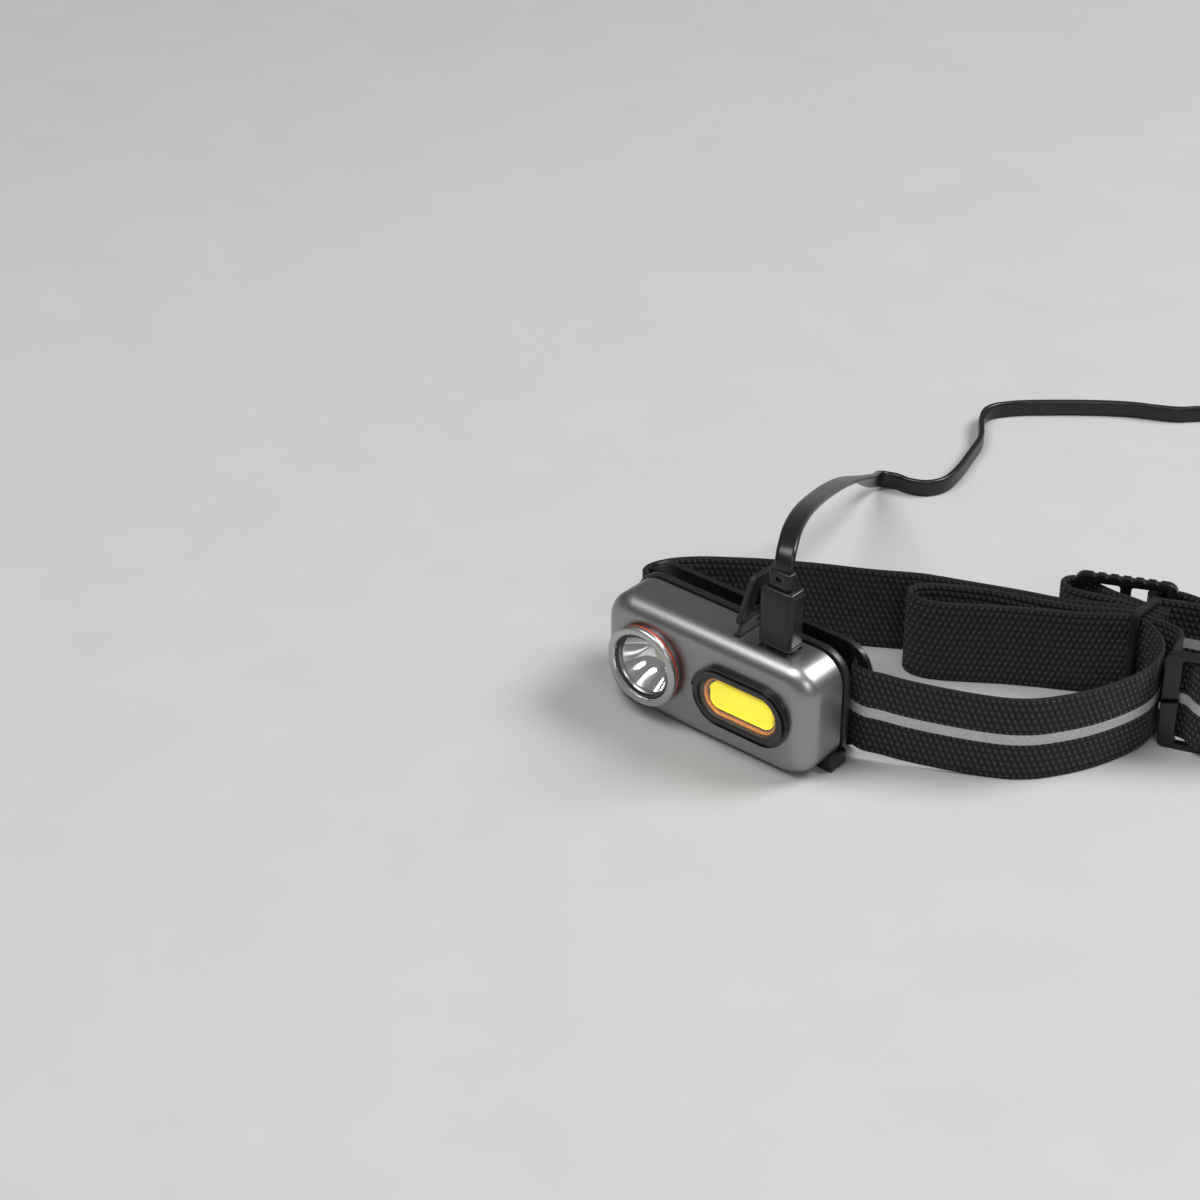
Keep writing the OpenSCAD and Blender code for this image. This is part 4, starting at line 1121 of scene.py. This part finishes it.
@dataclass
class Strap:
    """The elastic strap in the five lengths of the CAD model, in millimetres."""

    finish: bpy.types.Material
    width: float = 25.0
    thick: float = 1.2
    rear: Sequence[Point] = (
        (0, 16.1, 2.8), (-14, 16.1, 2.8), (-26, 16.1, 2.8), (-29.6, 16.2, 2.8),
        (-31.3, 15.6, 2.8), (-32, 14.25, 2.8), (-32.7, 12.9, 2.8), (-34.4, 12.2, 2.9),
        (-37, 12, 3), (-38.9, 13.2, 3), (-39.5, 15.5, 3), (-38.8, 18.4, 3), (-36.8, 22.2, 3),
        (-33.6, 26.3, 2.9), (-30, 30.7, 2.4), (-26, 35, 1.8), (-20.5, 40.7, 1),
        (-11.5, 47.4, 0.5), (-3.4, 53, 0), (5.4, 57.7, 0), (16.4, 64.5, 0), (22.5, 67.3, 0),
        (28.8, 69.8, 0), (39.1, 74, 0), (46, 76.6, 0), (52.7, 78.6, 0.2), (60, 81.2, 0.8),
        (68, 84.2, 1.6), (73.5, 85.5, 1.9), (78, 85.9, 1.9), (81, 86, 1.9))
    front: Sequence[Point] = (
        (0, 16.1, 2.8), (14, 16.1, 2.8), (26, 16.1, 2.8), (29.6, 16.2, 2.8), (31.3, 15.6, 2.8),
        (32, 14.25, 2.8), (32.7, 12.9, 2.8), (34.4, 12.2, 2.8), (37.6, 12.3, 2.5),
        (41.5, 14, 2.2), (48, 16.8, 1.4), (57.5, 21.4, 0.6), (67, 26.5, 0), (73.5, 30.6, 0),
        (78.6, 36, 0), (84.6, 46, 0), (88.6, 57, 0), (90, 66, 0), (88.9, 73, 0.2),
        (86.6, 77.4, 0.6), (83, 80.3, 1.2), (79.5, 81.8, 1.8))
    fold: Sequence[Point] = (
        (79.5, 81.8, 1.8), (76, 82.1, 1.9), (72.5, 81.2, 1.8), (67, 78.6, 1), (62, 76.2, 0.3),
        (53.2, 71.4, 0), (44, 65.7, 0), (35, 59.4, 0), (29.5, 55.9, 0), (25.2, 54.3, 0),
        (21.4, 54.6, 0), (19.2, 56.7, 0), (19.8, 59.8, 0), (23.1, 63.2, 0), (29.2, 66.9, 0),
        (35.9, 70.3, 0), (41.5, 72.5, 0), (47, 74.4, 0), (54, 76.6, 0.2), (61, 79, 0.6),
        (67, 81.5, 1.3), (72.5, 83.5, 1.9), (76, 84, 1.9), (80, 84.3, 1.9))
    wrap: Sequence[Point] = (
        (80.5, 88.2, 2), (76, 87.7, 2), (71.5, 86.7, 2.2), (66, 85, 2.7), (60, 82.9, 2.8),
        (55.5, 81.8, 2.8), (52.4, 82.2, 2.8), (50.8, 84.2, 2.8), (51.2, 86.6, 2.8),
        (53.2, 88.2, 2.8), (56.8, 88.7, 2.8), (61, 88.1, 2.8), (65.5, 87.8, 2.8),
        (71, 88.8, 2.4), (76, 89.5, 2), (80.5, 90, 2))
    adjust: Sequence[Point] = (
        (80, 84.3, 1.9), (84.2, 84.6, 1.9), (87.8, 83.7, 2), (90, 81, 2.1), (91, 77.2, 2.2),
        (92.2, 73.8, 2.2), (95.2, 72.6, 2.2), (98.6, 72.6, 2.2), (101.6, 71, 2.2),
        (104.6, 70.2, 2.2), (107.6, 71.2, 2.2), (109.4, 74.4, 2.2), (111.2, 77.9, 2.2),
        (115.2, 79.9, 2.2), (119.6, 81.8, 2.2), (123.4, 84.6, 2), (125.2, 89, 2),
        (123, 94, 2), (116.4, 98, 2), (106, 100.2, 2), (95, 100.8, 2.2), (86.5, 100.2, 2.6),
        (79.6, 99.4, 2.8), (75.6, 97.9, 2.8), (73, 96.3, 2.8), (72.1, 94.4, 2.8),
        (73.4, 92.9, 2.8), (76.2, 92.9, 2.8), (80.4, 94.7, 2.8), (86, 97, 2.8),
        (90.5, 98.1, 2.8))

    def length_of(self, route: Sequence[Point], name: str, node: str, outer: Side) -> None:
        """Makes one length of strap along its route, its line on the outer side."""
        line = spline(route, 6)
        t = self.thick
        inset = (0.45, 3.0, 6.5, 10.4, 12.5, 14.6, 18.5, 22.0, self.width - 0.45)
        section = [(v, t / 2) for v in inset]
        section += [(self.width, t * 0.22), (self.width, -t * 0.22)]
        section += [(v, -t / 2) for v in inset[::-1]] + [(0.0, -t * 0.22), (0.0, t * 0.22)]
        rings = []
        for i, p in enumerate(line):
            ahead = line[min(i + 1, len(line) - 1)] - line[max(i - 1, 0)]
            way = Vector((ahead.x, ahead.y, 0)).normalized()
            side = Vector((-way.y, way.x, 0))
            rings.append([(p + side * n + Vector((0, 0, v))) * MM for v, n in section])
        count = len(inset)
        sides = set(range(count - 1)) if outer is Side.LEFT else \
            set(range(count + 2, 2 * count + 1))
        bm = sweep(rings, name, [v * MM for v, _ in section], sides)
        piece(bm, name, Body.BAND, self.finish, (node,), 50)

    def build(self) -> None:
        """Makes the five lengths."""
        for route, name, node, side in (
                (self.rear, "strap_rear", "head_strap_rear", Side.LEFT),
                (self.front, "strap_front", "head_strap_front", Side.RIGHT),
                (self.fold, "strap_fold", "head_strap_fold", Side.RIGHT),
                (self.wrap, "strap_buckle_loop", "wrap_strap", Side.LEFT),
                (self.adjust, "strap_adjuster", "adjust_strap", Side.RIGHT)):
            self.length_of(route, name, node, side)


@dataclass
class StrapHardware:
    """The rear buckle, the three-bar slider and the elastic keeper."""

    finish: bpy.types.Material
    elastic: bpy.types.Material
    buckle_at: Point = (66.5, 91.0)
    slider_at: Point = (92.5, 69.0)

    def buckle(self) -> None:
        """Makes the rear buckle with its ribbed top edge."""
        h = 31.2
        body = front_slab(28, h, 3, -1.1, 1.1, 0, h / 2, 6)
        cuts = [front_slab(9.5, h - 4.8, 0.8, -4, 4, side * 6.25, h / 2, 4) for side in (-1, 1)]
        cuts += [rod(0.8, 8, at(i * 3.4 + 1.7, 4, h + 0.3) @ UPRIGHT, 16)
                 for i in range(-3, 3)]
        bm = carve(body, cuts, "buckle", 0.35)
        bm.transform(at(*self.buckle_at, 0) @ Matrix.Rotation(math.radians(25), 4, "Z"))
        piece(bm, "rear_buckle_frame", Body.BAND, self.finish,
              ("rear_buckle",), 30)

    def slider(self) -> None:
        """Makes the three-bar slider with its threading slit."""
        h = 29.4
        body = front_slab(27, h, 2.4, -1.3, 1.3, 13.5, h / 2, 6)
        cuts = [front_slab(7.2, h - 3.4, 0.8, -4, 4, 13.5 + side * 5.2, h / 2, 4)
                for side in (-1, 1)]
        slit = front_slab(9, 1.2, 0.1, -4, 4, 0, 0, 1)
        slit.transform(at(2.5, 0, h / 2) @ Matrix.Rotation(math.radians(-14), 4, "Y"))
        bm = carve(body, [*cuts, slit], "slider", 0.4)
        bm.transform(at(*self.slider_at, 0) @ Matrix.Rotation(math.radians(20), 4, "Z"))
        piece(bm, "three_bar_slider", Body.BAND, self.finish,
              ("strap_slider",), 30)

    def keeper(self) -> None:
        """Makes the elastic keeper round the bunch."""
        high, deep = 28.9, 2.4
        outer = slab(12.5, high, 2.2, deep, 6)
        inner = slab(9.3, high - 3.2, 0.6, 4.4, 4)
        inner.transform(at(0, 0, -1))
        bm = carve(outer, [inner], "keeper", 0.7)
        bm.transform(at(76 - deep / 2, 85.65, high / 2) @ ALONG_Y)
        piece(bm, "elastic_keeper", Body.BAND, self.elastic,
              ("strap_keeper",), 60)


# ---------------------------------------------------------------- the whole lamp
@dataclass
class Headlamp:
    """All the finishes and sub-assemblies of the headlamp."""

    nodes: dict[str, bpy.types.Object]
    subparts: Sequence[dict[str, Any]]
    made: dict[str, bpy.types.Material] = field(default_factory=dict)

    def finishes(self) -> None:
        """Makes every material once."""
        rubber = (0.012, 0.012, 0.013)
        for recipe in (
                Satin("shell_metal", (0.34, 0.34, 0.345), 0.37),
                Satin("silver_metal", (0.52, 0.52, 0.515), 0.33),
                Moulded("cover_plastic", (0.009, 0.009, 0.010), 0.40, 3000, 0.00001),
                Moulded("bezel_plastic", (0.006, 0.006, 0.007), 0.26, 900, 0.000004, 0.02, 0.5),
                Moulded("bracket_plastic", (0.007, 0.007, 0.008), 0.34, 2400, 0.00001),
                Moulded("buckle_plastic", (0.006, 0.006, 0.007), 0.33, 1800, 0.00001),
                Moulded("seal_rubber", rubber, 0.62, 1500, 0.00002, 0.08),
                Moulded("button_rubber", rubber, 0.6, 1500, 0.00002, 0.05),
                Moulded("cable_rubber", (0.006, 0.006, 0.0065), 0.34, 1200, 0.00001, 0.05),
                Moulded("foam", (0.05, 0.05, 0.05), 0.9, 700, 0.0003),
                Webbing("strap_fabric", 0.025), Webbing("keeper_elastic", 0.012, False),
                Metal("plug_metal", (0.78, 0.77, 0.75), 0.16),
                Metal("screw_steel", (0.52, 0.52, 0.53), 0.26),
                Metal("pin_steel", (0.56, 0.56, 0.57), 0.24, 0.1),
                Metal("mirror_bowl", (0.92, 0.92, 0.93), 0.03),
                Metal("board_aluminium", (0.74, 0.74, 0.74), 0.38),
                Metal("cell_foil", (0.6, 0.6, 0.62), 0.4, 0.2),
                Accent("orange_anodised"),
                Clear("clear_lens"), Phosphor("led_yellow"),
                Board("board_green", (0.02, 0.12, 0.05))):
            self.made[recipe.name] = recipe.make()

    def dress(self) -> None:
        """Gives every CAD node its record slot's finish."""
        for entry in self.subparts:
            node = self.nodes[entry["node"]]
            node.data.materials.clear()
            node.data.materials.append(self.made[entry["material_slot"]])

    def build(self) -> None:
        """Builds all the pieces in order."""
        m = self.made
        ChargingCable(m["cable_rubber"], m["plug_metal"]).build()
        SmallPlug(m["cable_rubber"], m["plug_metal"]).build()
        PortFlap(m["seal_rubber"]).build()
        housing = Housing(m["shell_metal"], m["cover_plastic"])
        housing.shell()
        housing.cover()
        housing.button(m["button_rubber"])
        lamps = Lamps(m["bezel_plastic"], m["clear_lens"], m["orange_anodised"],
                      m["mirror_bowl"], m["led_yellow"], m["silver_metal"])
        lamps.spot()
        lamps.flood()
        Bracket(m["bracket_plastic"]).build()
        Strap(m["strap_fabric"]).build()
        hardware = StrapHardware(m["buckle_plastic"], m["keeper_elastic"])
        hardware.buckle()
        hardware.slider()
        hardware.keeper()


def main() -> None:
    """Loads the frame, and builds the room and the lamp."""
    logging.basicConfig(level=logging.INFO, format="%(name)s: %(message)s")
    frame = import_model()
    room = Room()
    room.camera()
    lamp = Headlamp(frame["nodes"], frame["record"]["subparts"])
    lamp.finishes()
    lamp.dress()
    lamp.build()
    room.build()


if __name__ == "__main__":
    main()
